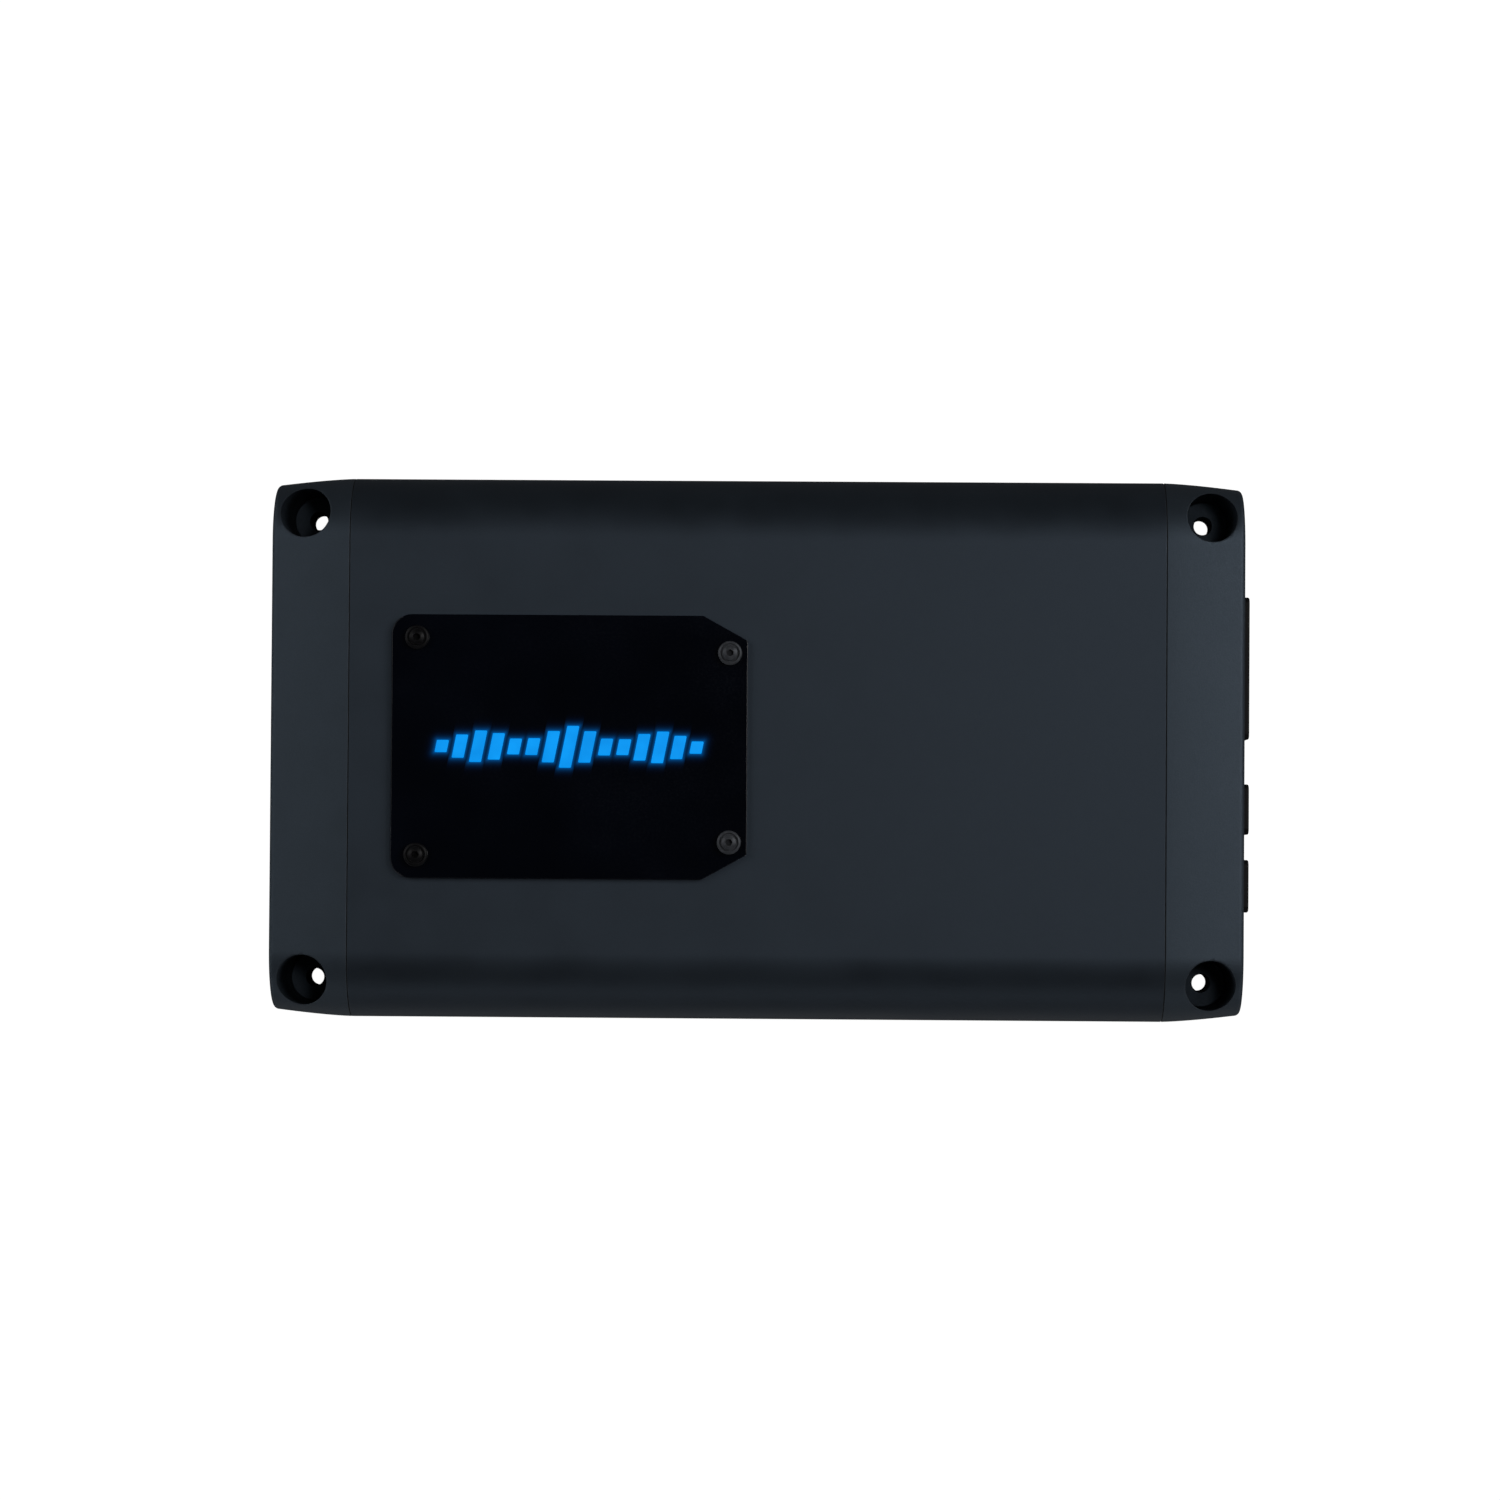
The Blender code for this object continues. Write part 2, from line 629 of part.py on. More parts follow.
def make_controls(painted, plastic, lever_plastic, light):
    half_y = WINDOW_Y + COLLAR_WALL - 0.2 * MM
    panel = add(
        "control_panel",
        box(
            (PANEL_FRONT, -half_y, WINDOW_LOW - COLLAR_WALL + 0.4 * MM),
            (PANEL_BACK, half_y, WINDOW_HIGH + COLLAR_WALL - 0.4 * MM),
        ),
        painted,
    )
    before = PANEL_FRONT - 1 * MM
    behind = PANEL_BACK + 1 * MM
    pot_front = PANEL_BACK + GAP
    holes = [cylinder_x(SHAFT_BORE, y, KNOB_Z, before, behind, 16) for y in KNOB_YS]
    holes += [cylinder_x(LIGHT_RADIUS + GAP, LIGHT_Y, z, before, behind, 16) for z in LIGHT_ZS.values()]

    knob = turned(
        [
            (SHAFT_RADIUS, -SHAFT_LENGTH, "round"),
            (SHAFT_RADIUS, 0, "round"),
            (KNOB_RADIUS, 0, "round"),
            (KNOB_RADIUS, 0.6 * MM, "round"),
            (KNOB_RADIUS, 0.7 * MM, "fluted"),
            (KNOB_RADIUS, KNOB_HEIGHT - 0.8 * MM, "fluted"),
            (KNOB_RADIUS - 0.8 * MM, KNOB_HEIGHT, "round"),
        ],
        24,
    )
    outward = (0, -math.pi / 2, 0)
    knob_mesh = None
    for number, y in enumerate(KNOB_YS, 1):
        name = f"control_knob_{number}"
        location = (PANEL_FRONT - GAP, y, KNOB_Z)
        if knob_mesh:
            place(name, knob_mesh, location, outward)
        else:
            knob_mesh = add(name, knob, plastic, location, outward).data
        pot_back = pot_front + POT_DEPTH
        pot_low = (pot_front, y - POT_HALF, KNOB_Z - POT_HALF)
        pot_high = (pot_back, y + POT_HALF, KNOB_Z + POT_HALF)
        pot = add(f"potentiometer_{number}", box(pot_low, pot_high), plastic)
        cut(pot, cylinder_x(SHAFT_BORE, y, KNOB_Z, pot_front - 1 * MM, pot_back + 1 * MM, 16))

    lever_half_y, lever_half_z = LEVER_HALF
    for number, (y, offset, reach) in enumerate(SWITCHES, 1):
        slot_y = lever_half_y + reach + 0.35 * MM
        slot_z = lever_half_z + GAP
        slot_low = (y - slot_y, SWITCH_Z - slot_z)
        slot_high = (y + slot_y, SWITCH_Z + slot_z)
        holes.append(box((before, *slot_low), (behind, *slot_high)))
        body_low = (pot_front, y - SWITCH_BODY_HALF[0], SWITCH_Z - SWITCH_BODY_HALF[1])
        body_high = (pot_front + 4.6 * MM, y + SWITCH_BODY_HALF[0], SWITCH_Z + SWITCH_BODY_HALF[1])
        body = add(f"slide_switch_body_{number}", box(body_low, body_high), plastic)
        cut(body, box((pot_front - 1 * MM, *slot_low), (pot_front + 2.6 * MM, *slot_high)))
        lever = box((-7 * MM, -lever_half_y, -lever_half_z), (0, lever_half_y, lever_half_z))
        lever_foot = (pot_front + 2.2 * MM, y + offset, SWITCH_Z)
        add(f"slide_switch_lever_{number}", lever, lever_plastic, lever_foot)
    cut(panel, *holes)

    pipe = turned(
        [
            (LIGHT_RADIUS, -8 * MM, "round"),
            (LIGHT_RADIUS, 0.3 * MM, "round"),
            (LIGHT_RADIUS * 0.8, 0.8 * MM, "round"),
            (LIGHT_RADIUS * 0.4, 1.05 * MM, "round"),
        ],
        16,
    )
    pipe_mesh = None
    for name, z in LIGHT_ZS.items():
        location = (PANEL_FRONT, LIGHT_Y, z)
        if pipe_mesh:
            place(name, pipe_mesh, location, outward)
        else:
            pipe_mesh = add(name, pipe, light, location, outward).data


def make_connector(name, y, width, rows, columns, plastic, contact_metal):
    """A connector housing that stands on the board's edge, and the block of contacts in it."""
    half = width / 2
    flange = half + 1.2 * MM
    back = rounded_rectangle(y - flange, y + flange, ON_BOARD, CONNECTOR_HIGH + 1.5 * MM, 0.8 * MM)
    front = rounded_rectangle(y - half, y + half, CONNECTOR_LOW, CONNECTOR_HIGH, 1.5 * MM)
    back_end = END_X - END_WALL - GAP
    mouth = END_X + CONNECTOR_PROTRUSION
    housing = add(f"{name}_connector", prism_x(back, CONNECTOR_BACK, back_end), plastic)
    unite(housing, prism_x(front, back_end - 1 * MM, mouth))
    inner = half - CONNECTOR_WALL
    low = CONNECTOR_LOW + CONNECTOR_WALL
    high = CONNECTOR_HIGH - CONNECTOR_WALL
    socket = rounded_rectangle(y - inner, y + inner, low, high, 1 * MM)
    cut(housing, prism_x(socket, CONNECTOR_BACK - 1 * MM, mouth + 1 * MM))

    seat = rounded_rectangle(y - inner + GAP, y + inner - GAP, low + GAP, high - GAP, 0.8 * MM)
    wafer_front = CONNECTOR_BACK + 2.5 * MM
    wafer = add(f"{name}_contacts", prism_x(seat, CONNECTOR_BACK + 0.5 * MM, wafer_front), contact_metal)
    pins = []
    for row in range(rows):
        z = (low + high) / 2 + (row - (rows - 1) / 2) * 5 * MM
        for column in range(columns):
            pin_y = y + ((column + 0.5) / columns - 0.5) * (2 * inner - 1 * MM)
            pin_low = (wafer_front - 0.5 * MM, pin_y - CONTACT_HALF, z - CONTACT_HALF)
            pin_high = (CONTACT_FRONT, pin_y + CONTACT_HALF, z + CONTACT_HALF)
            pins.append(box(pin_low, pin_high))
    unite(wafer, *pins)


def make_board(board_green):
    """The main circuit board, with a tongue that reaches into each end cap."""
    end = BODY_X - 1 * MM
    edge = WIDTH / 2 - WALL - 0.5 * MM
    left = PANEL_BACK + 0.5 * MM
    left_tongue = 35 * MM
    right_tongue = 42 * MM
    half = [
        (left, left_tongue),
        (-end, left_tongue),
        (-end, edge),
        (end, edge),
        (end, right_tongue),
        (104 * MM, right_tongue),
    ]
    outline = half + [(x, -y) for x, y in reversed(half)]
    add("main_circuit_board", prism_z(outline, BOARD_BOTTOM, BOARD_TOP), board_green)


def ring_core(name, x, y, outer, inner, height, mat):
    """A wound toroid that lies on the board, with rounded edges."""
    edge = 2 * MM
    segments = 24
    profile = [
        (outer, ON_BOARD + edge),
        (outer, ON_BOARD + height - edge),
        (outer - edge, ON_BOARD + height),
        (inner + edge, ON_BOARD + height),
        (inner, ON_BOARD + height - edge),
        (inner, ON_BOARD + edge),
        (inner + edge, ON_BOARD),
        (outer - edge, ON_BOARD),
    ]
    sections = []
    for i in range(segments):
        angle = 2 * math.pi * i / segments
        sections.append([(x + r * math.cos(angle), y + r * math.sin(angle), z) for r, z in profile])
    shape = loft(sections + [sections[0]], closed=False)
    bmesh.ops.remove_doubles(shape, verts=shape.verts, dist=0.001 * MM)
    add(name, shape, mat)


def make_components(sleeve, copper, plastic, steel):
    ring_core("power_transformer", 22 * MM, 0, 23 * MM, 9 * MM, 20 * MM, copper)
    for number, y in enumerate((20 * MM, -20 * MM), 1):
        ring_core(f"output_choke_{number}", 68 * MM, y, 12 * MM, 5 * MM, 12 * MM, copper)

    can = turned(
        [
            (7.4 * MM, 0, "round"),
            (8 * MM, 0.6 * MM, "round"),
            (8 * MM, 24.4 * MM, "round"),
            (7.4 * MM, 25 * MM, "round"),
        ],
        20,
    )
    places = [(x * MM, y * MM) for x in (-62, -40) for y in (-12, 12)]
    can_mesh = None
    for number, (x, y) in enumerate(places, 1):
        name = f"filter_capacitor_{number}"
        if can_mesh:
            place(name, can_mesh, (x, y, ON_BOARD))
        else:
            can_mesh = add(name, can, sleeve, (x, y, ON_BOARD)).data

    make_transistors(plastic, steel)


def make_transistors(plastic, steel):
    """Two power transistors on each side wall, and the bar that clamps them to it."""
    low = 13.4 * MM
    high = 29 * MM
    number = 0
    for side_number, side in enumerate((-1, 1), 1):
        wall = side * (WIDTH / 2 - WALL - GAP)
        face = wall - side * 4.5 * MM
        for x in (-20 * MM, 20 * MM):
            number += 1
            body = box((x - 5 * MM, face, low), (x + 5 * MM, wall, high))
            package = add(f"power_transistor_{number}", body, plastic)
            legs = []
            for leg_x in (x - 2.5 * MM, x, x + 2.5 * MM):
                leg_low = (leg_x - 0.4 * MM, face + side * 0.1 * MM, ON_BOARD)
                leg_high = (leg_x + 0.4 * MM, face + side * 0.7 * MM, low + 0.5 * MM)
                legs.append(box(leg_low, leg_high))
            unite(package, *legs)
        clamp_low = (-30 * MM, face - side * (GAP + 1.5 * MM), 18 * MM)
        clamp_high = (30 * MM, face - side * GAP, 25 * MM)
        add(f"transistor_clamp_{side_number}", box(clamp_low, clamp_high), steel)


def main():
    clear_scene()
    root = bpy.data.objects.new("amplifier", None)
    bpy.context.scene.collection.objects.link(root)
    root.location.x = CENTRE_SHIFT

    anodised = material("anodised_graphite", (0.022, 0.028, 0.036), 0.42, 0.6)
    cast = material("cast_cap_graphite", (0.026, 0.034, 0.043), 0.45, 0.6)
    rubber = material("black_rubber", (0.008, 0.008, 0.009), 0.8)
    acrylic = material("gloss_black_acrylic", (0.004, 0.004, 0.005), 0.06)
    light = material("blue_light", (0.02, 0.35, 0.85), 0.3)
    screw_metal = material("black_steel_screw", (0.03, 0.03, 0.032), 0.35, 1.0)
    steel = material("black_sheet_steel", (0.015, 0.015, 0.017), 0.5, 0.5)
    panel_paint = material("control_panel_black", (0.012, 0.012, 0.014), 0.55)
    plastic = material("black_plastic", (0.014, 0.014, 0.015), 0.5)
    lever_plastic = material("switch_lever_grey", (0.35, 0.35, 0.36), 0.5)
    brass = material("contact_brass", (0.75, 0.52, 0.2), 0.3, 1.0)
    board_green = material("circuit_board_green", (0.01, 0.09, 0.04), 0.45)
    sleeve = material("capacitor_sleeve", (0.02, 0.03, 0.08), 0.4)
    copper = material("copper_winding", (0.6, 0.25, 0.1), 0.35, 0.8)

    make_housing(anodised)
    make_bottom_plate(steel, screw_metal)
    for end, side in (("left", -1), ("right", 1)):
        make_cap(f"{end}_end_cap", side, cast)
        make_gasket(f"{end}_gasket", side, rubber)
    make_cap_screws(screw_metal)
    make_badge(acrylic, light, board_green, screw_metal)
    make_controls(panel_paint, plastic, lever_plastic, light)
    for connector in CONNECTORS:
        make_connector(*connector, plastic, brass)
    make_board(board_green)
    make_components(sleeve, copper, plastic, steel)


main()
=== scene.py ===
"""The looks of a compact car amplifier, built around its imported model.

Every piece that can be seen is made again here with finer curves and softened edges, and stands for its CAD
node. The pieces sealed inside the housing keep their CAD meshes and get better materials. Places come from
the boxes of the CAD nodes. Most pieces are modelled about the middle of the housing, and then moved there.
"""

import math

import bmesh
import bpy
from mathutils import Matrix, Vector


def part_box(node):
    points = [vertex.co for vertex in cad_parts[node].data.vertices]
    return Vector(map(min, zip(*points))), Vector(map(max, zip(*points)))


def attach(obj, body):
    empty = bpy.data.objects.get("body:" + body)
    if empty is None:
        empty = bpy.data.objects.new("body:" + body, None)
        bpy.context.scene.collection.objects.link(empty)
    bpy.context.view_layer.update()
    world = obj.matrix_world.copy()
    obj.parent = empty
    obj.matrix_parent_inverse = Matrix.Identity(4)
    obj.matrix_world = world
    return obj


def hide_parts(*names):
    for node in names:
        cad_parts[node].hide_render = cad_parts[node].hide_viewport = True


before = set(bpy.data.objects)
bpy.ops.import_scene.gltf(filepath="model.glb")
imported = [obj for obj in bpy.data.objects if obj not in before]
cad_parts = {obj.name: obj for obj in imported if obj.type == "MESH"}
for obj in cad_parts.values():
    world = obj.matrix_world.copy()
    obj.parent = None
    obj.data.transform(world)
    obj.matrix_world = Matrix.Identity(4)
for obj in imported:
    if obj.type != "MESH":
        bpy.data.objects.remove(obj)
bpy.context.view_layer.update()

MM = 0.001

# Places of the main pieces, with X measured from the middle of the housing
body_low, body_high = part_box("heatsink_body")
cap_low, cap_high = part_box("right_end_cap")
MIDDLE = (body_low.x + body_high.x) / 2
HALF_WIDTH = body_high.y
TOP = body_high.z
BODY_BOTTOM = body_low.z
END_X = cap_high.x - MIDDLE
SEAM_X = (cap_low.x + body_high.x) / 2 - MIDDLE

# Housing section
SEAM_WIDTH = 0.2 * MM
SEAM_EDGE = 0.12 * MM
SHOULDER_RADIUS = 15 * MM
ARC_STEPS = 32
FOOT_RADIUS = 0.5 * MM
WALL = 3.5 * MM
ROOF = 5 * MM
GROOVE_BOTTOMS = (9 * MM, 15 * MM, 21 * MM)
GROOVE_HEIGHT = 2.4 * MM
GROOVE_DEPTH = 1.2 * MM
CHANNEL_RADIUS = 3 * MM
CHANNEL_HALF_MOUTH = 35
SCREW_CLEARANCE = 1.8 * MM
CEILING_RADIUS = 10 * MM
RAIL_REACH = 3.5 * MM
RAIL_TOP = 12.7 * MM
BOARD_SLOT = (8.7 * MM, 10.9 * MM)
LIP_TOP = 5.6 * MM

# End caps
CAP_TAPER = 1.5 * MM
CAP_EDGE = 1.2 * MM
END_WALL = 3 * MM
CAVITY_HALF_WIDTHS = (36.2 * MM, 43.5 * MM)
CAVITY_LEVELS = (3 * MM, 8.6 * MM, 33.6 * MM, 41 * MM)
CAP_SCREW_HEAD = 1.9 * MM
CASE_SOCKET = 1.0 * MM
MOUNT_X = END_X - 7.45 * MM
MOUNT_Y = HALF_WIDTH - 8.5 * MM
MOUNT_HOLE_RADIUS = 2.0 * MM
MOUNT_WELL_RADIUS = 5.7 * MM
MOUNT_SEAT_Z = 12 * MM
WELL_FILLET = 0.5 * MM
WELL_CHAMFER = 0.22 * MM
WELL_RIM = ((0, -1), (0.29, -0.29), (1.5, 0.21))
WINDOW_Y = 33 * MM
WINDOW_LOW = 11 * MM
WINDOW_HIGH = 35 * MM
WINDOW_CHAMFER = 0.7 * MM
COLLAR_WALL = 2.4 * MM
OPENING_RADIUS = 1.5 * MM

# Badge and its emblem
badge_low, badge_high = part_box("badge_plate")
BADGE_CORNER_RADIUS = 4.5 * MM
BADGE_CHAMFER = (10.1 * MM, 5.6 * MM)
BADGE_EDGE = 0.1 * MM
BADGE_SCREW_HEAD = 1.65 * MM
BADGE_SOCKET = 0.75 * MM
BADGE_SCREW_TURN = 0.4
EMBLEM_X = (badge_low.x + badge_high.x) / 2 - MIDDLE
EMBLEM_SIDE_BARS = 7
EMBLEM_PITCH = 4.1 * MM
EMBLEM_BAR_WIDTH = 2.6 * MM
EMBLEM_SLANT = 0.2
EMBLEM_BASE = 3.2 * MM
EMBLEM_SWING = 1.45 * MM
EMBLEM_BEAT = 5
EMBLEM_FADE = 20
HALO_REACH = 0.42 * MM
HALO_STRENGTH = 0.55
POCKET_HALF = (32 * MM, 6.6 * MM)
POCKET_DEPTH = 3.5 * MM
WIRE_HOLE_RADIUS = 1.5 * MM

# Controls
KNOB_HEIGHT = 4.4 * MM
KNOB_FLUTES = 24
FLUTE_DEPTH = 0.035
KNOB_TURN = 140
TICKS = 11
TICK_START = 4.9 * MM
PRINT_THICKNESS = 0.04 * MM
SHAFT_HOLE_RADIUS = 2.4 * MM
SWITCH_REACHES = {1: 2 * MM, 2: 1.5 * MM}
SWITCH_HALF_SLOT = (1.65 * MM, 1.3 * MM)
SWITCH_DOT_DROP = 2.5 * MM
LIGHT_RADIUS = 1.5 * MM
LIGHT_CLEARANCE = 0.15 * MM
LIGHT_DOME = 1.05 * MM

# Connectors: rows of contacts, and contacts in a row
CONNECTORS = {"power": (2, 6), "signal": (2, 3), "remote": (2, 2)}
CONNECTOR_WALL = 1.5 * MM
CONNECTOR_FLANGE = 1.2 * MM
CONNECTOR_STEP = 1.5 * MM
CONNECTOR_HEIGHT = 16 * MM
CONNECTOR_RADIUS = 1.5 * MM
CONNECTOR_GAP = 0.3 * MM
CONNECTOR_EDGE = 0.4 * MM
KEY_LENGTH = 11 * MM
PIN_ROW_PITCH = 5 * MM
PIN_HALF = 0.6 * MM

# Stage
CAMERA = Vector((15.51 * MM, -26.84 * MM, 1150 * MM))
CAMERA_AIM = Vector((-3.29 * MM, 0.66 * MM, 0))
CAMERA_LENS = 117.75
CAMERA_ROLL = math.radians(0.39)


# Shapes


def arc(centre, radius, start, end, steps):
    """Points on an arc, with its angles in degrees."""
    points = []
    for i in range(steps + 1):
        angle = math.radians(start + (end - start) * i / steps)
        points.append((centre[0] + radius * math.cos(angle), centre[1] + radius * math.sin(angle)))
    return points


def soften(points, radius, steps=4, closed=True):
    """Round the corners of a 2-D outline or profile. The radius is one number, or one for each point."""
    count = len(points)
    radii = radius if isinstance(radius, (list, tuple)) else [radius] * count
    made = []
    for i, point in enumerate(points):
        corner = Vector(point)
        if radii[i] <= 0 or (not closed and i in (0, count - 1)):
            made.append(tuple(corner))
            continue
        before = Vector(points[i - 1]) - corner
        after = Vector(points[(i + 1) % count]) - corner
        half = before.angle(after) / 2
        if half > math.radians(89):
            made.append(tuple(corner))
            continue
        reach = min(radii[i] / math.tan(half), before.length * 0.49, after.length * 0.49)
        start = corner + before.normalized() * reach
        end = corner + after.normalized() * reach
        axis = (before.normalized() + after.normalized()).normalized()
        centre = corner + axis * reach / math.cos(half)
        sweep = math.pi - 2 * half
        for step in range(steps + 1):
            share = step / steps
            first = math.sin((1 - share) * sweep) / math.sin(sweep)
            last = math.sin(share * sweep) / math.sin(sweep)
            made.append(tuple(centre + (start - centre) * first + (end - centre) * last))
    return made


def grow(points, amount):
    """Move the sides of a counter-clockwise outline outwards, or inwards by a negative amount."""
    made = []
    for i, point in enumerate(points):
        corner = Vector(point)
        incoming = (corner - Vector(points[i - 1])).normalized()
        outgoing = (Vector(points[(i + 1) % len(points)]) - corner).normalized()
        normal_in = Vector((incoming.y, -incoming.x))
        normal_out = Vector((outgoing.y, -outgoing.x))
        shift = (normal_in + normal_out) / (1 + normal_in.dot(normal_out))
        made.append(tuple(corner + shift * amount))
    return made


def rectangle(a0, a1, b0, b1, amount=0.0):
    """The corners of a rectangle, grown by the amount, counter-clockwise."""
    a0, a1 = a0 - amount, a1 + amount
    b0, b1 = b0 - amount, b1 + amount
    return [(a1, b1), (a0, b1), (a0, b0), (a1, b0)]


def loft(sections, closed=True):
    """Skin sections that have the same number of points, and fill the two ends."""
    shape = bmesh.new()
    rings = [[shape.verts.new(point) for point in section] for section in sections]
    for ring, following in zip(rings, rings[1:]):
        count = len(ring)
        for i in range(count):
            j = (i + 1) % count
            shape.faces.new((ring[i], ring[j], following[j], following[i]))
    if closed:
        shape.faces.new(rings[0])
        shape.faces.new(rings[-1])
    return shape


def loft_x(outlines):
    """Skin (x, outline) pairs, where an outline holds (y, z) points."""
    return loft([[(x, y, z) for y, z in outline] for x, outline in outlines])


def loft_z(outlines):
    """Skin (z, outline) pairs, where an outline holds (x, y) points."""
    return loft([[(x, y, z) for x, y in outline] for z, outline in outlines])


def band_x(outer, inner, x0, x1):
    """Extrude the band between two (y, z) outlines along X."""
    sections = []
    for x, points in ((x0, outer), (x1, outer), (x1, inner), (x0, inner)):
        sections.append([(x, y, z) for y, z in points])
    shape = loft(sections + [sections[0]], closed=False)
    bmesh.ops.remove_doubles(shape, verts=shape.verts, dist=0.001 * MM)
    return shape


def in_mm(points):
    """Points given in millimetres, in metres."""
    return [(a * MM, b * MM) for a, b in points]


def turned(profile, segments=64, reach=None):
    """Turn a profile of (radius, z) points about Z. Reach scales the radius at an angle and a height."""
    sections = []
    for radius, z in profile:
        section = []
        for i in range(segments):
            angle = 2 * math.pi * i / segments
            scaled = radius * reach(angle, z) if reach else radius
            section.append((scaled * math.cos(angle), scaled * math.sin(angle), z))
        sections.append(section)
    return loft(sections)


def hexagon(radius, z0, z1):
    """A six-sided prism about Z. Its radius is half its width across flats."""
    corner = radius / math.cos(math.pi / 6)
    return turned([(corner, z0), (corner, z1)], 6)


def soft_box(low, high, edge, steps=3):
    """A box between two opposite corners, with all its edges rounded."""
    shape = bmesh.new()
    size = Vector(high) - Vector(low)
    centre = (Vector(high) + Vector(low)) / 2
    bmesh.ops.create_cube(shape, size=1, matrix=Matrix.Translation(centre) @ Matrix.Diagonal((*size, 1)))
    if edge:
        bmesh.ops.bevel(shape, geom=shape.edges[:], offset=edge, segments=steps, profile=0.5, affect="EDGES")
    return shape


def move(shape, x, y, z):
    bmesh.ops.translate(shape, verts=shape.verts, vec=(x, y, z))
    return shape


def lay_x(shape, x, y, z, side):
    """Lay a shape that was turned about Z along X, its top facing the given side."""
    bmesh.ops.rotate(shape, verts=shape.verts, matrix=Matrix.Rotation(side * math.pi / 2, 3, "Y"))
    return move(shape, x, y, z)


# Pieces


def to_mesh(name, shapes):
    """One mesh from one bmesh or several, which are used up."""
    joined = bmesh.new()
    shapes = shapes if isinstance(shapes, list) else [shapes]
    for shape in shapes:
        bmesh.ops.recalc_face_normals(shape, faces=shape.faces)
        mesh = bpy.data.meshes.new("part")
        shape.to_mesh(mesh)
        shape.free()
        joined.from_mesh(mesh)
        bpy.data.meshes.remove(mesh)
    mesh = bpy.data.meshes.new(name)
    joined.to_mesh(mesh)
    joined.free()
    return mesh


def add_object(name, data, location=(0, 0, 0), turn=(0, 0, 0)):
    made = bpy.data.objects.new(name, data)
    bpy.context.scene.collection.objects.link(made)
    made.location = location
    made.rotation_euler = turn
    return made


def new_piece(name, shapes, mat, location=(MIDDLE, 0, 0), turn=(0, 0, 0)):
    mesh = to_mesh(name, shapes)
    mesh.materials.append(mat)
    return add_object(name, mesh, location, turn)


def combine(piece, operation, shapes):
    """Cut shapes out of a piece or unite them with it, and keep the result as its mesh."""
    tool = add_object("tool", to_mesh("tool", list(shapes)), piece.location, piece.rotation_euler)
    boolean = piece.modifiers.new(operation.lower(), "BOOLEAN")
    boolean.operation = operation
    boolean.object = tool
    depsgraph = bpy.context.evaluated_depsgraph_get()
    mesh = bpy.data.meshes.new_from_object(piece.evaluated_get(depsgraph))
    piece.modifiers.clear()
    piece.data = mesh
    bpy.data.objects.remove(tool)


def cut(piece, *shapes):
    combine(piece, "DIFFERENCE", shapes)


def unite(piece, *shapes):
    combine(piece, "UNION", shapes)


def settle(piece, slot, *nodes, body="housing", angle=35):
    """Shade a finished piece, put it on its body, and let it stand for its CAD nodes."""
    piece.data.shade_smooth()
    piece.data.set_sharp_from_angle(angle=math.radians(angle))
    weighted = piece.modifiers.new("weighted_normals", "WEIGHTED_NORMAL")
    weighted.keep_sharp = True
    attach(piece, body)
    if nodes:
        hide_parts(*nodes)
    return piece


def copy_piece(source, name, location, turn, slot, node, body="housing"):
    """Another piece with the same mesh."""
    return settle(add_object(name, source.data, location, turn), slot, node, body=body)


# Material nodes


def node(mat, kind, inputs=None, **settings):
    """Add a node. An input is a value, or the output of another node."""
    made = mat.node_tree.nodes.new(kind)
    for name, value in settings.items():
        setattr(made, name, value)
    for key, value in (inputs or {}).items():
        if isinstance(value, bpy.types.NodeSocket):
            mat.node_tree.links.new(value, made.inputs[key])
        else:
            made.inputs[key].default_value = value
    return made


def maths(mat, operation, *values):
    return node(mat, "ShaderNodeMath", dict(enumerate(values)), operation=operation).outputs[0]


def noise(mat, size, detail=2.0, stretch=None):
    """Noise with features of the given size, in object coordinates."""
    place = node(mat, "ShaderNodeTexCoord").outputs["Object"]
    if stretch:
        place = node(mat, "ShaderNodeMapping", {"Vector": place, "Scale": stretch}).outputs[0]
    inputs = {"Vector": place, "Scale": 1 / size, "Detail": detail}
    return node(mat, "ShaderNodeTexNoise", inputs).outputs["Fac"]


def spread(mat, factor, low, high, start=0.3, end=0.7):
    """Map a factor from its usual range to values between low and high."""
    inputs = {"Value": factor, "From Min": start, "From Max": end, "To Min": low, "To Max": high}
    return node(mat, "ShaderNodeMapRange", inputs).outputs[0]


def mix_colour(mat, factor, a, b):
    """Mix two colours, which are RGB values or outputs of other nodes."""
    made = node(mat, "ShaderNodeMix", data_type="RGBA")
    mat.node_tree.links.new(factor, made.inputs["Factor"])
    for name, value in (("A", a), ("B", b)):
        socket = next(s for s in made.inputs if s.name == name and s.type == "RGBA")
        if isinstance(value, bpy.types.NodeSocket):
            mat.node_tree.links.new(value, socket)
        else:
            socket.default_value = (*value, 1)
    return next(s for s in made.outputs if s.type == "RGBA")


def edge_mask(mat, radius):
    """1 along outer edges that a rounding of the radius would touch, and 0 on flat faces."""
    rounded = node(mat, "ShaderNodeBevel", {"Radius": radius}, samples=4).outputs[0]
    flat = node(mat, "ShaderNodeNewGeometry").outputs["Normal"]
    same = node(mat, "ShaderNodeVectorMath", {0: rounded, 1: flat}, operation="DOT_PRODUCT").outputs["Value"]
    return spread(mat, same, 1, 0, 0.86, 0.995)


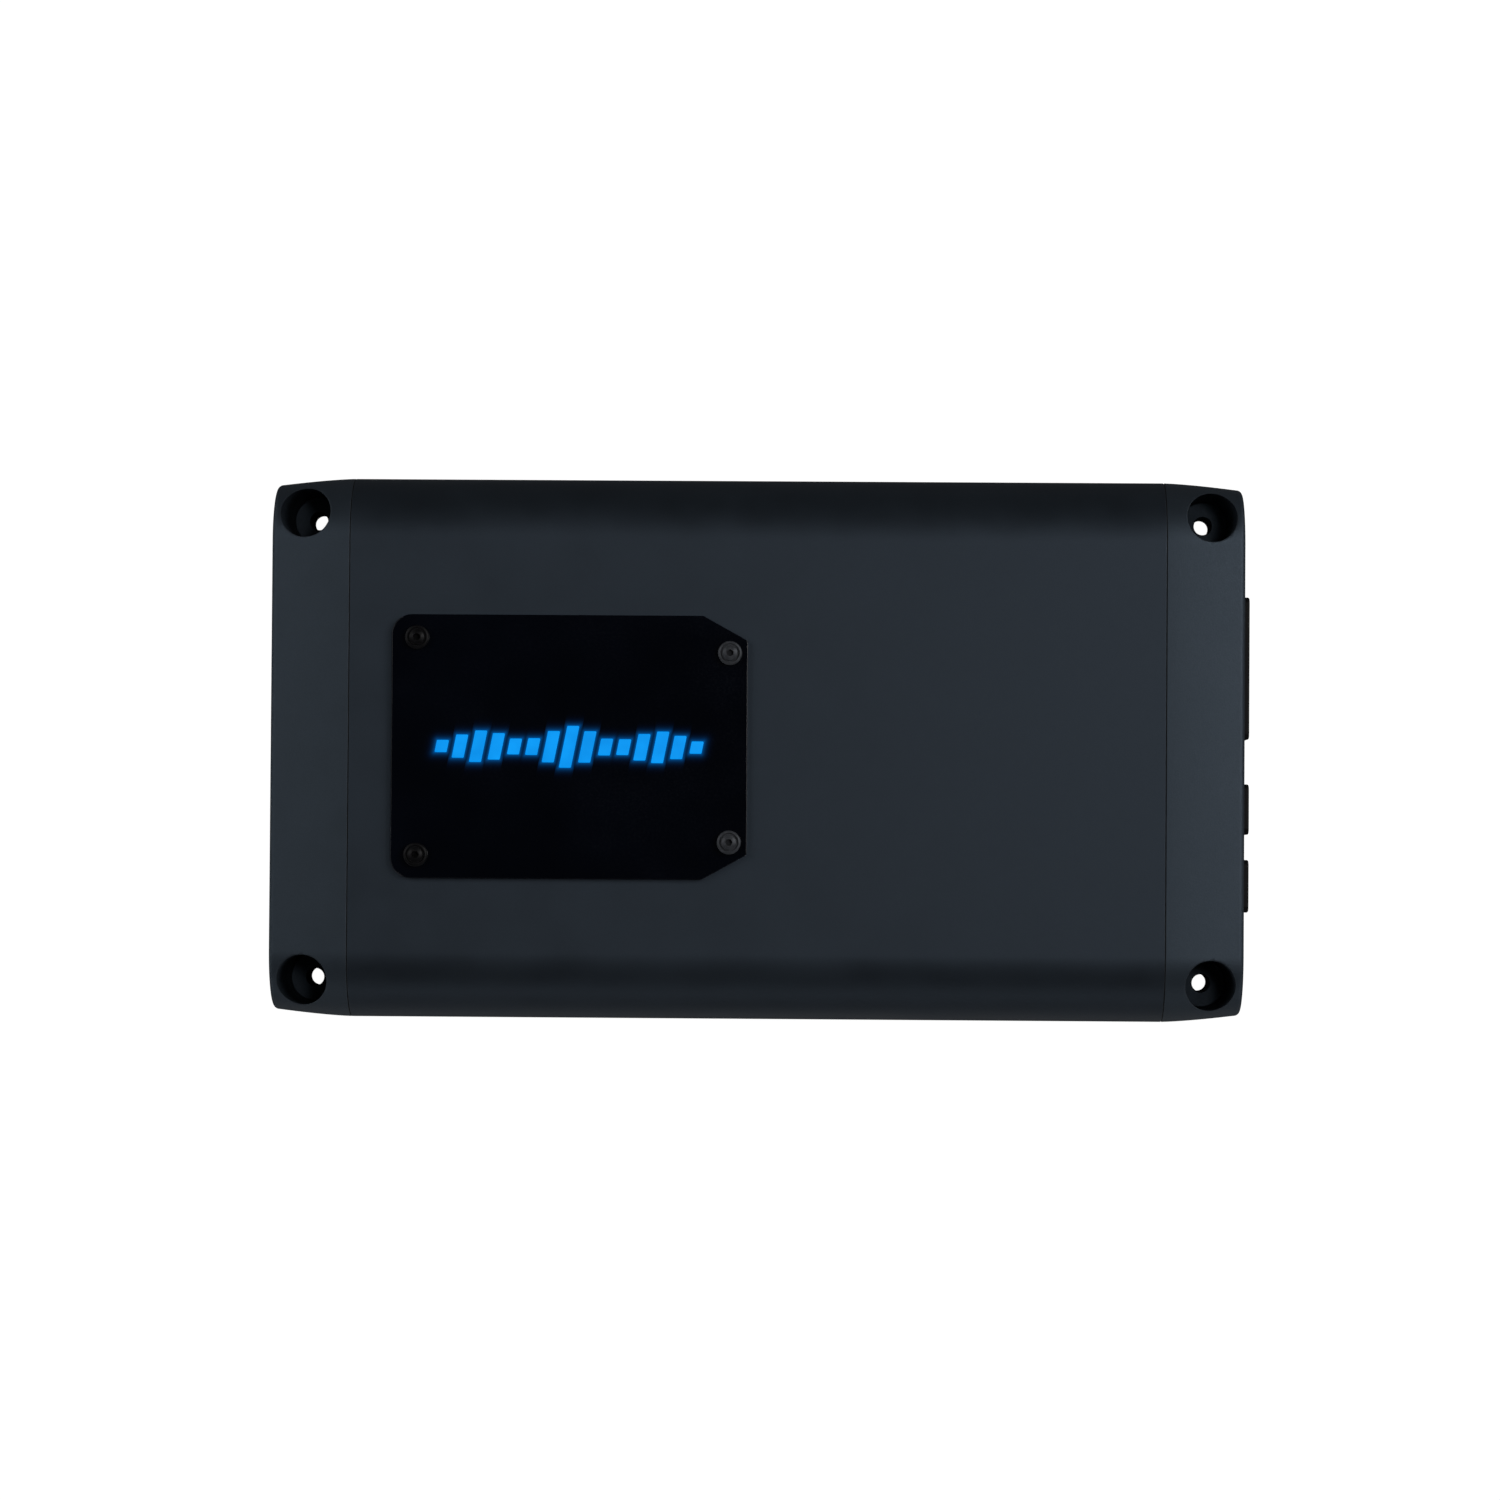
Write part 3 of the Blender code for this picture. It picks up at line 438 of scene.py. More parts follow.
def finish(
    name,
    colour,
    roughness,
    metallic=0.0,
    grain=0.3 * MM,
    depth=0.01 * MM,
    mottle=0.08,
    patch=9 * MM,
    edge_wear_and_highlight=None,
    edge_wear_and_highlight_radius=0.25 * MM,
    stretch=None,
):
    """A surface with fine grain, patches of slightly different tone and gloss, and a lighter colour on its
    edges, which is wear on most finishes and a painted highlight on the badge screws' rims.
    """
    mat = bpy.data.materials.new(name)
    mat.use_nodes = True
    shader = mat.node_tree.nodes["Principled BSDF"]
    shader.inputs["Metallic"].default_value = metallic

    patches = noise(mat, patch)
    fine = noise(mat, grain, 3.0, stretch)
    darker = [part * (1 - mottle) for part in colour]
    lighter = [part * (1 + mottle) for part in colour]
    tone = mix_colour(mat, spread(mat, patches, 0, 1), darker, lighter)
    broad = spread(mat, patches, -0.03, 0.03)
    gloss = maths(mat, "ADD", broad, spread(mat, fine, roughness - 0.04, roughness + 0.04))
    # Edges get a lighter, patchy colour: wear on most finishes, and a painted highlight on the badge screws'
    # rims.
    if edge_wear_and_highlight:
        patchy_edges = spread(mat, noise(mat, 2 * MM), 0.25, 0.9)
        tone = mix_colour(mat, maths(mat, "MULTIPLY", edge_mask(mat, edge_wear_and_highlight_radius), patchy_edges), tone, edge_wear_and_highlight)
    links = mat.node_tree.links
    links.new(tone, shader.inputs["Base Color"])
    links.new(gloss, shader.inputs["Roughness"])
    if depth:
        bump = node(mat, "ShaderNodeBump", {"Height": fine, "Distance": depth, "Strength": 1.0})
        links.new(bump.outputs[0], shader.inputs["Normal"])
    return mat


def shader_of(mat):
    return mat.node_tree.nodes["Principled BSDF"]


# Materials


def anodised_finish():
    """Fine-blasted graphite anodising: dull, slightly blue, with soft metal highlights."""
    return finish(
        "anodised_graphite", (0.050, 0.065, 0.085), 0.50, 0.85,
        grain=0.22 * MM, depth=0.010 * MM, mottle=0.05, patch=14 * MM, edge_wear_and_highlight=(0.11, 0.13, 0.15),
    )


def cast_finish():
    """The caps' painted casting, a little lighter and rougher than the extrusion."""
    return finish(
        "cast_cap_graphite", (0.062, 0.081, 0.104), 0.54, 0.8,
        grain=0.35 * MM, depth=0.018 * MM, mottle=0.06, patch=10 * MM, edge_wear_and_highlight=(0.13, 0.15, 0.17),
    )


def acrylic_finish():
    """Gloss black acrylic with faint haze, and the emblem's light spilling over its nearest edge."""
    mat = finish(
        "gloss_black_acrylic", (0.0012, 0.0022, 0.0055), 0.09, 0.0,
        grain=0.5 * MM, depth=0, mottle=0.2, patch=18 * MM,
    )
    shader = shader_of(mat)
    shader.inputs["IOR"].default_value = 1.49
    shader.inputs["Emission Color"].default_value = (0.0, 0.16, 0.6, 1)
    place = node(mat, "ShaderNodeTexCoord").outputs["Object"]
    parts = node(mat, "ShaderNodeSeparateXYZ", {0: place})
    x, y = parts.outputs["X"], parts.outputs["Y"]
    upright = maths(mat, "SUBTRACT", x, maths(mat, "MULTIPLY", y, EMBLEM_SLANT))
    along = maths(mat, "SUBTRACT", upright, EMBLEM_X)
    nearest = maths(mat, "ROUND", maths(mat, "DIVIDE", along, EMBLEM_PITCH))
    index = maths(mat, "MAXIMUM", maths(mat, "MINIMUM", nearest, EMBLEM_SIDE_BARS), -EMBLEM_SIDE_BARS)
    beat = maths(mat, "COSINE", maths(mat, "MULTIPLY", index, 2 * math.pi / EMBLEM_BEAT))
    swell = maths(mat, "MULTIPLY_ADD", beat, EMBLEM_SWING, EMBLEM_BASE)
    fade = maths(mat, "SUBTRACT", 1, maths(mat, "DIVIDE", maths(mat, "ABSOLUTE", index), EMBLEM_FADE))
    reach = maths(mat, "MULTIPLY", swell, fade)
    bar = maths(mat, "MULTIPLY", index, EMBLEM_PITCH)
    across = maths(mat, "ABSOLUTE", maths(mat, "SUBTRACT", along, bar))
    beside = maths(mat, "MAXIMUM", maths(mat, "SUBTRACT", across, EMBLEM_BAR_WIDTH / 2), 0)
    beyond = maths(mat, "MAXIMUM", maths(mat, "SUBTRACT", maths(mat, "ABSOLUTE", y), reach), 0)
    squares = maths(mat, "MULTIPLY_ADD", beyond, beyond, maths(mat, "MULTIPLY", beside, beside))
    glow = maths(mat, "EXPONENT", maths(mat, "DIVIDE", maths(mat, "SQRT", squares), -HALO_REACH))
    mat.node_tree.links.new(maths(mat, "MULTIPLY", glow, HALO_STRENGTH), shader.inputs["Emission Strength"])
    return mat


def emblem_finish():
    """Blue diffuser plastic, lit from below and a little uneven."""
    mat = finish("blue_light", (0.001, 0.03, 0.08), 0.4, grain=0.4 * MM, depth=0, mottle=0.1)
    shader = shader_of(mat)
    uneven = spread(mat, noise(mat, 5 * MM), 0, 1)
    colour = mix_colour(mat, uneven, (0.001, 0.27, 0.80), (0.002, 0.33, 0.93))
    mat.node_tree.links.new(colour, shader.inputs["Emission Color"])
    shader.inputs["Emission Strength"].default_value = 1.0
    shader.inputs["Specular IOR Level"].default_value = 0.15
    return mat


def status_finish(name, colour, strength):
    """A moulded light pipe with a tinted, slightly frosted dome."""
    mat = finish(name, colour, 0.28, grain=0.3 * MM, depth=0.004 * MM, mottle=0.15, patch=1 * MM)
    shader = shader_of(mat)
    shader.inputs["Emission Color"].default_value = (*colour, 1)
    shader.inputs["Emission Strength"].default_value = strength
    shader.inputs["Coat Weight"].default_value = 0.5
    return mat


def badge_screw_finish(name, colour, edge_wear_and_highlight):
    """Black oxide whose rims are lighter, partly from wear and partly as a painted highlight. A lit and a
    shaded copy differ in base and rim colour, which paints the light that falls on each pair of screws.
    """
    mat = finish(
        name, colour, 0.42, 0.3,
        grain=0.25 * MM, depth=0.008 * MM, mottle=0.2, patch=1.2 * MM, edge_wear_and_highlight=edge_wear_and_highlight, edge_wear_and_highlight_radius=0.07 * MM,
    )
    shader_of(mat).inputs["Specular IOR Level"].default_value = 0.25
    return mat


def winding_finish(name, centre, turns):
    """Enamelled copper wire wound round a ring, with painted shade darkening the grooves between its turns.
    """
    mat = finish(
        name, (0.55, 0.20, 0.07), 0.32, 0.85,
        grain=0.8 * MM, mottle=0.2, patch=4 * MM,
    )
    shader = shader_of(mat)
    place = node(mat, "ShaderNodeSeparateXYZ", {0: node(mat, "ShaderNodeTexCoord").outputs["Object"]})
    offset_x = maths(mat, "SUBTRACT", place.outputs["X"], centre.x)
    offset_y = maths(mat, "SUBTRACT", place.outputs["Y"], centre.y)
    angle = maths(mat, "ARCTAN2", offset_y, offset_x)
    ridge = maths(mat, "ABSOLUTE", maths(mat, "SINE", maths(mat, "MULTIPLY", angle, turns / 2)))
    bump = node(mat, "ShaderNodeBump", {"Height": ridge, "Distance": 0.6 * MM})
    mat.node_tree.links.new(bump.outputs[0], shader.inputs["Normal"])
    # Painted shade: the colour darkens from copper to near black in the grooves between turns.
    dark = mix_colour(mat, spread(mat, ridge, 0, 1, 0, 0.5), (0.12, 0.03, 0.01), (0.60, 0.23, 0.08))
    mat.node_tree.links.new(dark, shader.inputs["Base Color"])
    return mat


def board_finish():
    """Green solder mask over copper tracks, which show as a lighter grid with faint relief."""
    mat = finish("circuit_board_green", (0.008, 0.085, 0.035), 0.35, grain=0.3 * MM, depth=0, mottle=0.15)
    shader = shader_of(mat)
    place = node(mat, "ShaderNodeTexCoord").outputs["Object"]
    settings = {"Vector": place, "Scale": 1 / (2.4 * MM), "Mortar Size": 0.06, "Mortar Smooth": 0.3}
    tracks = node(mat, "ShaderNodeTexBrick", settings).outputs["Fac"]
    colour = mix_colour(mat, tracks, (0.006, 0.075, 0.03), (0.02, 0.16, 0.06))
    mat.node_tree.links.new(colour, shader.inputs["Base Color"])
    bump = node(mat, "ShaderNodeBump", {"Height": tracks, "Distance": 0.05 * MM})
    mat.node_tree.links.new(bump.outputs[0], shader.inputs["Normal"])
    return mat


# Housing


def channel(centre, entry, mouth, leave):
    """The outline of an open screw channel, between the angles where the wall meets it."""
    near = mouth - CHANNEL_HALF_MOUTH
    far = mouth + CHANNEL_HALF_MOUTH - 360
    points = arc(centre, CHANNEL_RADIUS, entry, near, 6)
    points += arc(centre, SCREW_CLEARANCE, near, far, 20)
    points += arc(centre, CHANNEL_RADIUS, far, leave, 6)
    return points


def groove(side, bottom):
    """One rounded groove along the housing's side, from its lower lip to its upper one."""
    steps = 12
    points = []
    for step in range(steps + 1):
        along = step / steps
        depth = GROOVE_DEPTH * math.sin(math.pi * along) ** 1.5
        points.append((side - depth, bottom + GROOVE_HEIGHT * along))
    return points


def inner_half(screw_y, low_z, high_z):
    """The inside of the extrusion for positive Y: ceiling, board rails, lips and screw channels."""
    inside = HALF_WIDTH - WALL
    ceiling = TOP - ROOF
    rail = inside - RAIL_REACH
    slot_low, slot_high = BOARD_SLOT
    high_angle = math.degrees(math.asin((ceiling - high_z) / CHANNEL_RADIUS))
    low_angle = math.degrees(math.asin((LIP_TOP - low_z) / CHANNEL_RADIUS))
    points = channel((screw_y, high_z), 180 - high_angle, 270, high_angle)
    corner = (inside - CEILING_RADIUS, ceiling - CEILING_RADIUS)
    points += reversed(arc(corner, CEILING_RADIUS, 0, 90, 12))
    points += [
        (inside, RAIL_TOP),
        (rail, RAIL_TOP),
        (rail, slot_high),
        (inside, slot_high),
        (inside, slot_low),
        (rail, slot_low),
        (rail, LIP_TOP),
    ]
    points += channel((screw_y, low_z), low_angle, 180, -90)
    points += [(inside, low_z - CHANNEL_RADIUS), (inside, BODY_BOTTOM)]
    return points


def extrusion_section(inset, inner):
    """The whole (y, z) section of the housing, its outer faces moved in by the inset."""
    side = HALF_WIDTH - inset
    outer = arc((side - FOOT_RADIUS, BODY_BOTTOM + FOOT_RADIUS), FOOT_RADIUS, -90, 0, 4)
    for bottom in GROOVE_BOTTOMS:
        outer += groove(side, bottom)
    centre = (HALF_WIDTH - SHOULDER_RADIUS, TOP - SHOULDER_RADIUS)
    outer += arc(centre, SHOULDER_RADIUS - inset, 0, 90, ARC_STEPS)
    mirrored_outer = [(-y, z) for y, z in reversed(outer)]
    mirrored_inner = [(-y, z) for y, z in reversed(inner)]
    return outer + mirrored_outer + mirrored_inner + inner


def middle_of(name):
    """The middle of a CAD node's box."""
    low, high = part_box(name)
    return (low + high) / 2


def screw_places(prefix):
    """The middle of each screw's box, with X measured from the middle of the housing."""
    places = []
    for number in range(1, 5):
        places.append(middle_of(f"{prefix}_{number}") - Vector((MIDDLE, 0, 0)))
    return places


def make_housing(mat):
    cap_screws = screw_places("right_cap_screw")
    screw_y = cap_screws[3].y
    inner = inner_half(screw_y, cap_screws[0].z, cap_screws[3].z)
    end = SEAM_X - SEAM_WIDTH / 2
    half = []
    for step in range(5):
        angle = math.pi / 2 * step / 4
        half.append((end - SEAM_EDGE * (1 - math.cos(angle)), SEAM_EDGE * (1 - math.sin(angle))))
    sections = [(-x, inset) for x, inset in half] + [(x, inset) for x, inset in reversed(half)]
    shape = loft_x([(x, extrusion_section(inset, inner)) for x, inset in sections])
    body = new_piece("heatsink_housing", shape, mat)

    half_x, half_y = POCKET_HALF
    low = (EMBLEM_X - half_x, -half_y, TOP - POCKET_DEPTH)
    high = (EMBLEM_X + half_x, half_y, TOP + 5 * MM)
    holes = [soft_box(low, high, 0)]
    for place in screw_places("badge_screw"):
        hole = turned([(SCREW_CLEARANCE, TOP - ROOF - 2 * MM), (SCREW_CLEARANCE, TOP + 5 * MM)], 32)
        holes.append(move(hole, place.x, place.y, 0))
    for place in screw_places("bottom_plate_screw"):
        hole = turned([(SCREW_CLEARANCE, 1.6 * MM), (SCREW_CLEARANCE, 6.6 * MM)], 32)
        holes.append(move(hole, place.x, place.y, 0))
    cut(body, *holes)
    levels = (TOP - ROOF - 2 * MM, TOP - POCKET_DEPTH + 1 * MM)
    wire_hole = turned([(WIRE_HOLE_RADIUS, z) for z in levels], 24)
    cut(body, move(wire_hole, EMBLEM_X, 0, 0))
    settle(body, "anodised_body", "heatsink_body")


def make_bottom_plate(mat, screw_mat):
    low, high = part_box("bottom_plate")
    shape = soft_box((low.x - MIDDLE, low.y, low.z), (high.x - MIDDLE, high.y, high.z), 0.25 * MM)
    plate = new_piece("base_plate", shape, mat)
    sink_profile = in_mm([(3.5, -1), (3.2, -0.02), (3.05, 0.15), (1.8, 1.35), (1.8, 3)])
    sinks = []
    for place in screw_places("bottom_plate_screw"):
        sinks.append(move(turned(sink_profile, 48), place.x, place.y, low.z))
    cut(plate, *sinks)
    settle(plate, "bottom_steel", "bottom_plate")

    head = soften([(1.5, -1.25), (2.75, -0.02), (2.6, 0.0), (0.0001, 0.0)], [0, 0.05, 0.1, 0], 3, False)
    profile = in_mm([(1.2, -6.5), (1.5, -6.2)] + head)
    screw = None
    for number in range(1, 5):
        name = f"bottom_plate_screw_{number}"
        place = middle_of(name)
        place.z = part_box(name)[0].z
        turn = (math.pi, 0, 0)
        title = f"base_screw_{number}"
        if screw:
            copy_piece(screw, title, place, turn, "case_screw_metal", name)
            continue
        screw = new_piece(title, turned(profile, 48), screw_mat, place, turn)
        cut(screw, hexagon(CASE_SOCKET, -0.9 * MM, 1 * MM))
        settle(screw, "case_screw_metal", name)


# End caps


def cap_outline(inset, lift):
    """The caps' outer (y, z) outline, moved in by the inset, with its foot lifted."""
    side = HALF_WIDTH - inset
    radius = SHOULDER_RADIUS - inset
    centre_y = HALF_WIDTH - SHOULDER_RADIUS
    centre_z = TOP - SHOULDER_RADIUS
    half = arc((side - FOOT_RADIUS, lift + FOOT_RADIUS), FOOT_RADIUS, -90, 0, 4)
    half += arc((centre_y, centre_z), radius, 0, 90, ARC_STEPS)
    return half + [(-y, z) for y, z in reversed(half)]


def cap_inset(along):
    """How far a cap's surface has drawn in at a distance from its seam, and the part that its edge gives."""
    taper_length = END_X - SEAM_X - SEAM_WIDTH / 2 - CAP_EDGE
    taper = CAP_TAPER * min(along / taper_length, 1) ** 1.4
    past = min(max(along - taper_length, 0) / CAP_EDGE, 1)
    return taper, CAP_EDGE * (1 - math.sqrt(1 - past**2))


def cap_sections(side):
    start = SEAM_X + SEAM_WIDTH / 2
    edge = SEAM_EDGE
    length = END_X - start
    sections = []
    for step in range(4):
        angle = math.pi / 2 * step / 4
        sections.append((start + edge * (1 - math.cos(angle)), edge * (1 - math.sin(angle)), 0))
    for step in range(13):
        along = edge + (length - CAP_EDGE - edge) * step / 12
        sections.append((start + along, *cap_inset(along)))
    for step in range(1, 9):
        along = length - CAP_EDGE * (1 - math.sin(math.pi / 2 * step / 8))
        sections.append((start + along, *cap_inset(along)))
    return [(side * x, cap_outline(inset + rounding, rounding)) for x, inset, rounding in sections]


def cap_surface(x, y):
    """The height of a cap's outside above a place."""
    inset = sum(cap_inset(abs(x) - SEAM_X - SEAM_WIDTH / 2))
    over = abs(y) - (HALF_WIDTH - SHOULDER_RADIUS)
    if over <= 0:
        return TOP - inset
    radius = SHOULDER_RADIUS - inset
    return TOP - SHOULDER_RADIUS + math.sqrt(max(radius**2 - over**2, 0))


def well(x, y):
    """A mounting hole and its well, whose rim has a small rounded chamfer that follows the cap's surface."""
    segments = 96
    hole = MOUNT_HOLE_RADIUS
    wall = MOUNT_WELL_RADIUS
    fillet = WELL_FILLET
    profile = [
        (hole + 0.5 * MM, -1 * MM),
        (hole + 0.5 * MM, 0),
        (hole, 0.5 * MM),
        (hole, MOUNT_SEAT_Z - 0.25 * MM),
        (hole + 0.25 * MM, MOUNT_SEAT_Z),
    ]
    profile += arc((wall - fillet, MOUNT_SEAT_Z + fillet), fillet, -90, 0, 5)
    rim = [(share * WELL_CHAMFER, up * WELL_CHAMFER) for share, up in WELL_RIM]
    sections = []
    for ring in range(len(profile) + len(rim) + 1):
        section = []
        for i in range(segments):
            angle = 2 * math.pi * i / segments
            if ring < len(profile):
                radius, z = profile[ring]
            else:
                out, up = rim[min(ring - len(profile), len(rim) - 1)]
                radius = wall + out
                z = cap_surface(x + radius * math.cos(angle), y + radius * math.sin(angle)) + up
            if ring == len(profile) + len(rim):
                z = TOP + 2 * MM
            section.append((x + radius * math.cos(angle), y + radius * math.sin(angle), z))
        sections.append(section)
    return loft(sections)


def opening(side, outline, depth, chamfer):
    """A cutter for an opening in a cap's end face, with a chamfered mouth."""
    past = 1 * MM
    levels = [(-depth, 0), (-chamfer, 0), (0, chamfer), (past, chamfer + past)]
    sections = []
    for x, amount in levels:
        sections.append((side * (END_X + x), soften(grow(outline, amount), OPENING_RADIUS + amount, 6)))
    return loft_x(sections)


def make_cap(name, node_name, side, mat):
    cap = new_piece(name, loft_x(cap_sections(side)), mat)
    narrow, wide = CAVITY_HALF_WIDTHS
    floor, step, upper_step, ceiling = CAVITY_LEVELS
    cavity = [
        (narrow, floor),
        (narrow, step),
        (wide, step),
        (wide, upper_step),
        (narrow, upper_step),
        (narrow, ceiling),
    ]
    cavity += [(-y, z) for y, z in reversed(cavity)]
    cut(cap, loft_x([(side * (SEAM_X - 2 * MM), cavity), (side * (END_X - END_WALL), cavity)]))

    panel_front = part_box("control_panel")[0].x - MIDDLE
    if side < 0:
        low = (-(END_X - END_WALL + 0.5 * MM), -WINDOW_Y - COLLAR_WALL, WINDOW_LOW - COLLAR_WALL)
        high = (panel_front - 0.05 * MM, WINDOW_Y + COLLAR_WALL, WINDOW_HIGH + COLLAR_WALL)
        unite(cap, soft_box(low, high, 0))

    holes = [well(side * MOUNT_X, y) for y in (-MOUNT_Y, MOUNT_Y)]
    sink = in_mm([(1.8, -20), (1.8, -2.6), (3.2, -2.6), (3.2, -0.3), (3.6, 0.1), (3.6, 1)])
    for place in screw_places("right_cap_screw"):
        holes.append(lay_x(turned(sink, 48), side * END_X, place.y, place.z, side))
    if side < 0:
        outline = rectangle(-WINDOW_Y, WINDOW_Y, WINDOW_LOW, WINDOW_HIGH)
        holes.append(opening(side, outline, END_X + panel_front + 1 * MM, WINDOW_CHAMFER))
    else:
        for prefix in CONNECTORS:
            outline = rectangle(*connector_front(prefix), CONNECTOR_GAP)
            holes.append(opening(side, outline, END_WALL + 2 * MM, CONNECTOR_GAP))
    cut(cap, *holes)
    settle(cap, "cast_cap", node_name)


def make_cap_screws(screw_mat):
    head = soften([(1.5, 0), (2.75, 0), (2.75, 1.9), (0.0001, 1.9)], [0, 0.12, 0.7, 0], 6, False)
    profile = in_mm([(1.2, -20), (1.5, -19.6)] + head)
    screw = None
    for end, side in (("left", -1), ("right", 1)):
        for number in range(1, 5):
            name = f"{end}_cap_screw_{number}"
            low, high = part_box(name)
            place = (low + high) / 2
            place.x = (low.x if side < 0 else high.x) - side * CAP_SCREW_HEAD
            turn = (0, side * math.pi / 2, 0)
            title = f"{end}_screw_{number}"
            if screw:
                copy_piece(screw, title, place, turn, "case_screw_metal", name)
                continue
            screw = new_piece(title, turned(profile, 48), screw_mat, place, turn)
            cut(screw, hexagon(CASE_SOCKET, 0.7 * MM, 3 * MM))
            settle(screw, "case_screw_metal", name)


def make_gaskets(mat):
    for end, side in (("left", -1), ("right", 1)):
        name = f"{end}_gasket"
        outer = cap_outline(0.2 * MM, BODY_BOTTOM + 0.2 * MM)
        inner = cap_outline(3.3 * MM, 3.3 * MM)
        edge = SEAM_WIDTH / 2 - 0.02 * MM
        shape = band_x(outer, inner, side * SEAM_X - edge, side * SEAM_X + edge)
        settle(new_piece(f"{end}_seal", shape, mat), "gasket_rubber", name)


# Badge


def badge_outline(inset):
    """The plate's rounded (x, y) outline: round corners on the left, long chamfers on the right."""
    chamfer_x, chamfer_y = BADGE_CHAMFER
    left = badge_low.x - MIDDLE
    right = badge_high.x - MIDDLE
    side = badge_high.y
    points = [
        (right, side - chamfer_y),
        (right - chamfer_x, side),
        (left, side),
        (left, -side),
        (right - chamfer_x, -side),
        (right, -side + chamfer_y),
    ]
    sharp = 0.8 * MM
    round_corner = BADGE_CORNER_RADIUS - inset
    return soften(grow(points, -inset), [sharp, sharp, round_corner, round_corner, sharp, sharp], 10)


def emblem_bars(amount, z0, z1, edge=0.0):
    """The emblem's slanted bars, whose heights rise and fall like a sound wave."""
    half_width = EMBLEM_BAR_WIDTH / 2
    bars = []
    for index in range(-EMBLEM_SIDE_BARS, EMBLEM_SIDE_BARS + 1):
        x = EMBLEM_X + index * EMBLEM_PITCH
        swell = EMBLEM_BASE + EMBLEM_SWING * math.cos(2 * math.pi * index / EMBLEM_BEAT)
        reach = swell * (1 - abs(index) / EMBLEM_FADE)
        lean = EMBLEM_SLANT * reach
        corners = [
            (x + half_width + lean, reach),
            (x - half_width + lean, reach),
            (x - half_width - lean, -reach),
            (x + half_width - lean, -reach),
        ]
        levels = [(z0, amount), (z1 - edge, amount)]
        levels += [(z1 - edge * 0.3, amount - edge * 0.3), (z1, amount - edge)]
        sections = []
        for z, inset in levels if edge else levels[:2]:
            sections.append((z, soften(grow(corners, inset), 0.25 * MM, 4)))
        bars.append(loft_z(sections))
    return bars


def make_badge(acrylic, light, screw_mats):
    top = badge_high.z
    rim = top - BADGE_EDGE
    profile = [(0, TOP + 0.02 * MM), (0, rim), (BADGE_EDGE, top), (2 * BADGE_EDGE, top)]
    levels = soften(profile, 0.08 * MM, 4, False)
    plate = new_piece("badge", loft_z([(z, badge_outline(inset)) for inset, z in levels]), acrylic)
    openings = emblem_bars(0.06 * MM, TOP - 1 * MM, top + 1 * MM)
    for place in screw_places("badge_screw"):
        hole = turned([(SCREW_CLEARANCE, TOP - 1 * MM), (SCREW_CLEARANCE, top + 1 * MM)], 48)
        openings.append(move(hole, place.x, place.y, 0))
    cut(plate, *openings)
    settle(plate, "badge_acrylic", "badge_plate")

    guide_low, guide_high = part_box("badge_light_guide")
    slab_top = badge_low.z - 0.6 * MM
    slab_low = (guide_low.x - MIDDLE, guide_low.y, guide_low.z)
    slab_high = (guide_high.x - MIDDLE, guide_high.y, slab_top)
    guide = new_piece("emblem_light_guide", soft_box(slab_low, slab_high, 0), light)
    unite(guide, *emblem_bars(0, slab_top - 0.5 * MM, top - 0.03 * MM, 0.12 * MM))
    settle(guide, "emblem_light", "badge_light_guide")

    rim_profile = [(1.5, -0.3), (2.7, -0.3), (2.7, 1.0), (2.15, 1.15), (2.1, 0.55), (1.75, 0.55), (1.7, 1.35)]
    rim_profile += [(1.0, 1.6), (0.0001, 1.65)]
    radii = [0, 0.1, 0.3, 0.08, 0.05, 0.05, 0.12, 0.4, 0]
    profile = in_mm([(1.2, -10), (1.5, -9.6)] + soften(rim_profile, radii, 5, False))
    screw = None
    for number in range(1, 5):
        name = f"badge_screw_{number}"
        place = middle_of(name)
        place.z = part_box(name)[1].z - BADGE_SCREW_HEAD
        title = f"badge_bolt_{number}"
        if screw and number != 3:
            turn = (0, 0, BADGE_SCREW_TURN * number)
            copy_piece(screw, title, place, turn, "badge_screw_metal", name)
            continue
        # Screws 1 and 2 get the shaded copy and screws 3 and 4 the lit copy: painted shade and painted light
        # on one finish.
        screw = new_piece(title, turned(profile), screw_mats[(number - 1) // 2], place)
        cut(screw, hexagon(BADGE_SOCKET, -1 * MM, 3 * MM))
        settle(screw, "badge_screw_metal", name)


# Controls


def control_places(prefix, count):
    """Each control's middle in Y and Z, and where its box starts in X."""
    places = []
    for number in range(1, count + 1):
        name = f"{prefix}_{number}"
        middle = middle_of(name)
        places.append((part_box(name)[0].x, middle.y, middle.z))
    return places


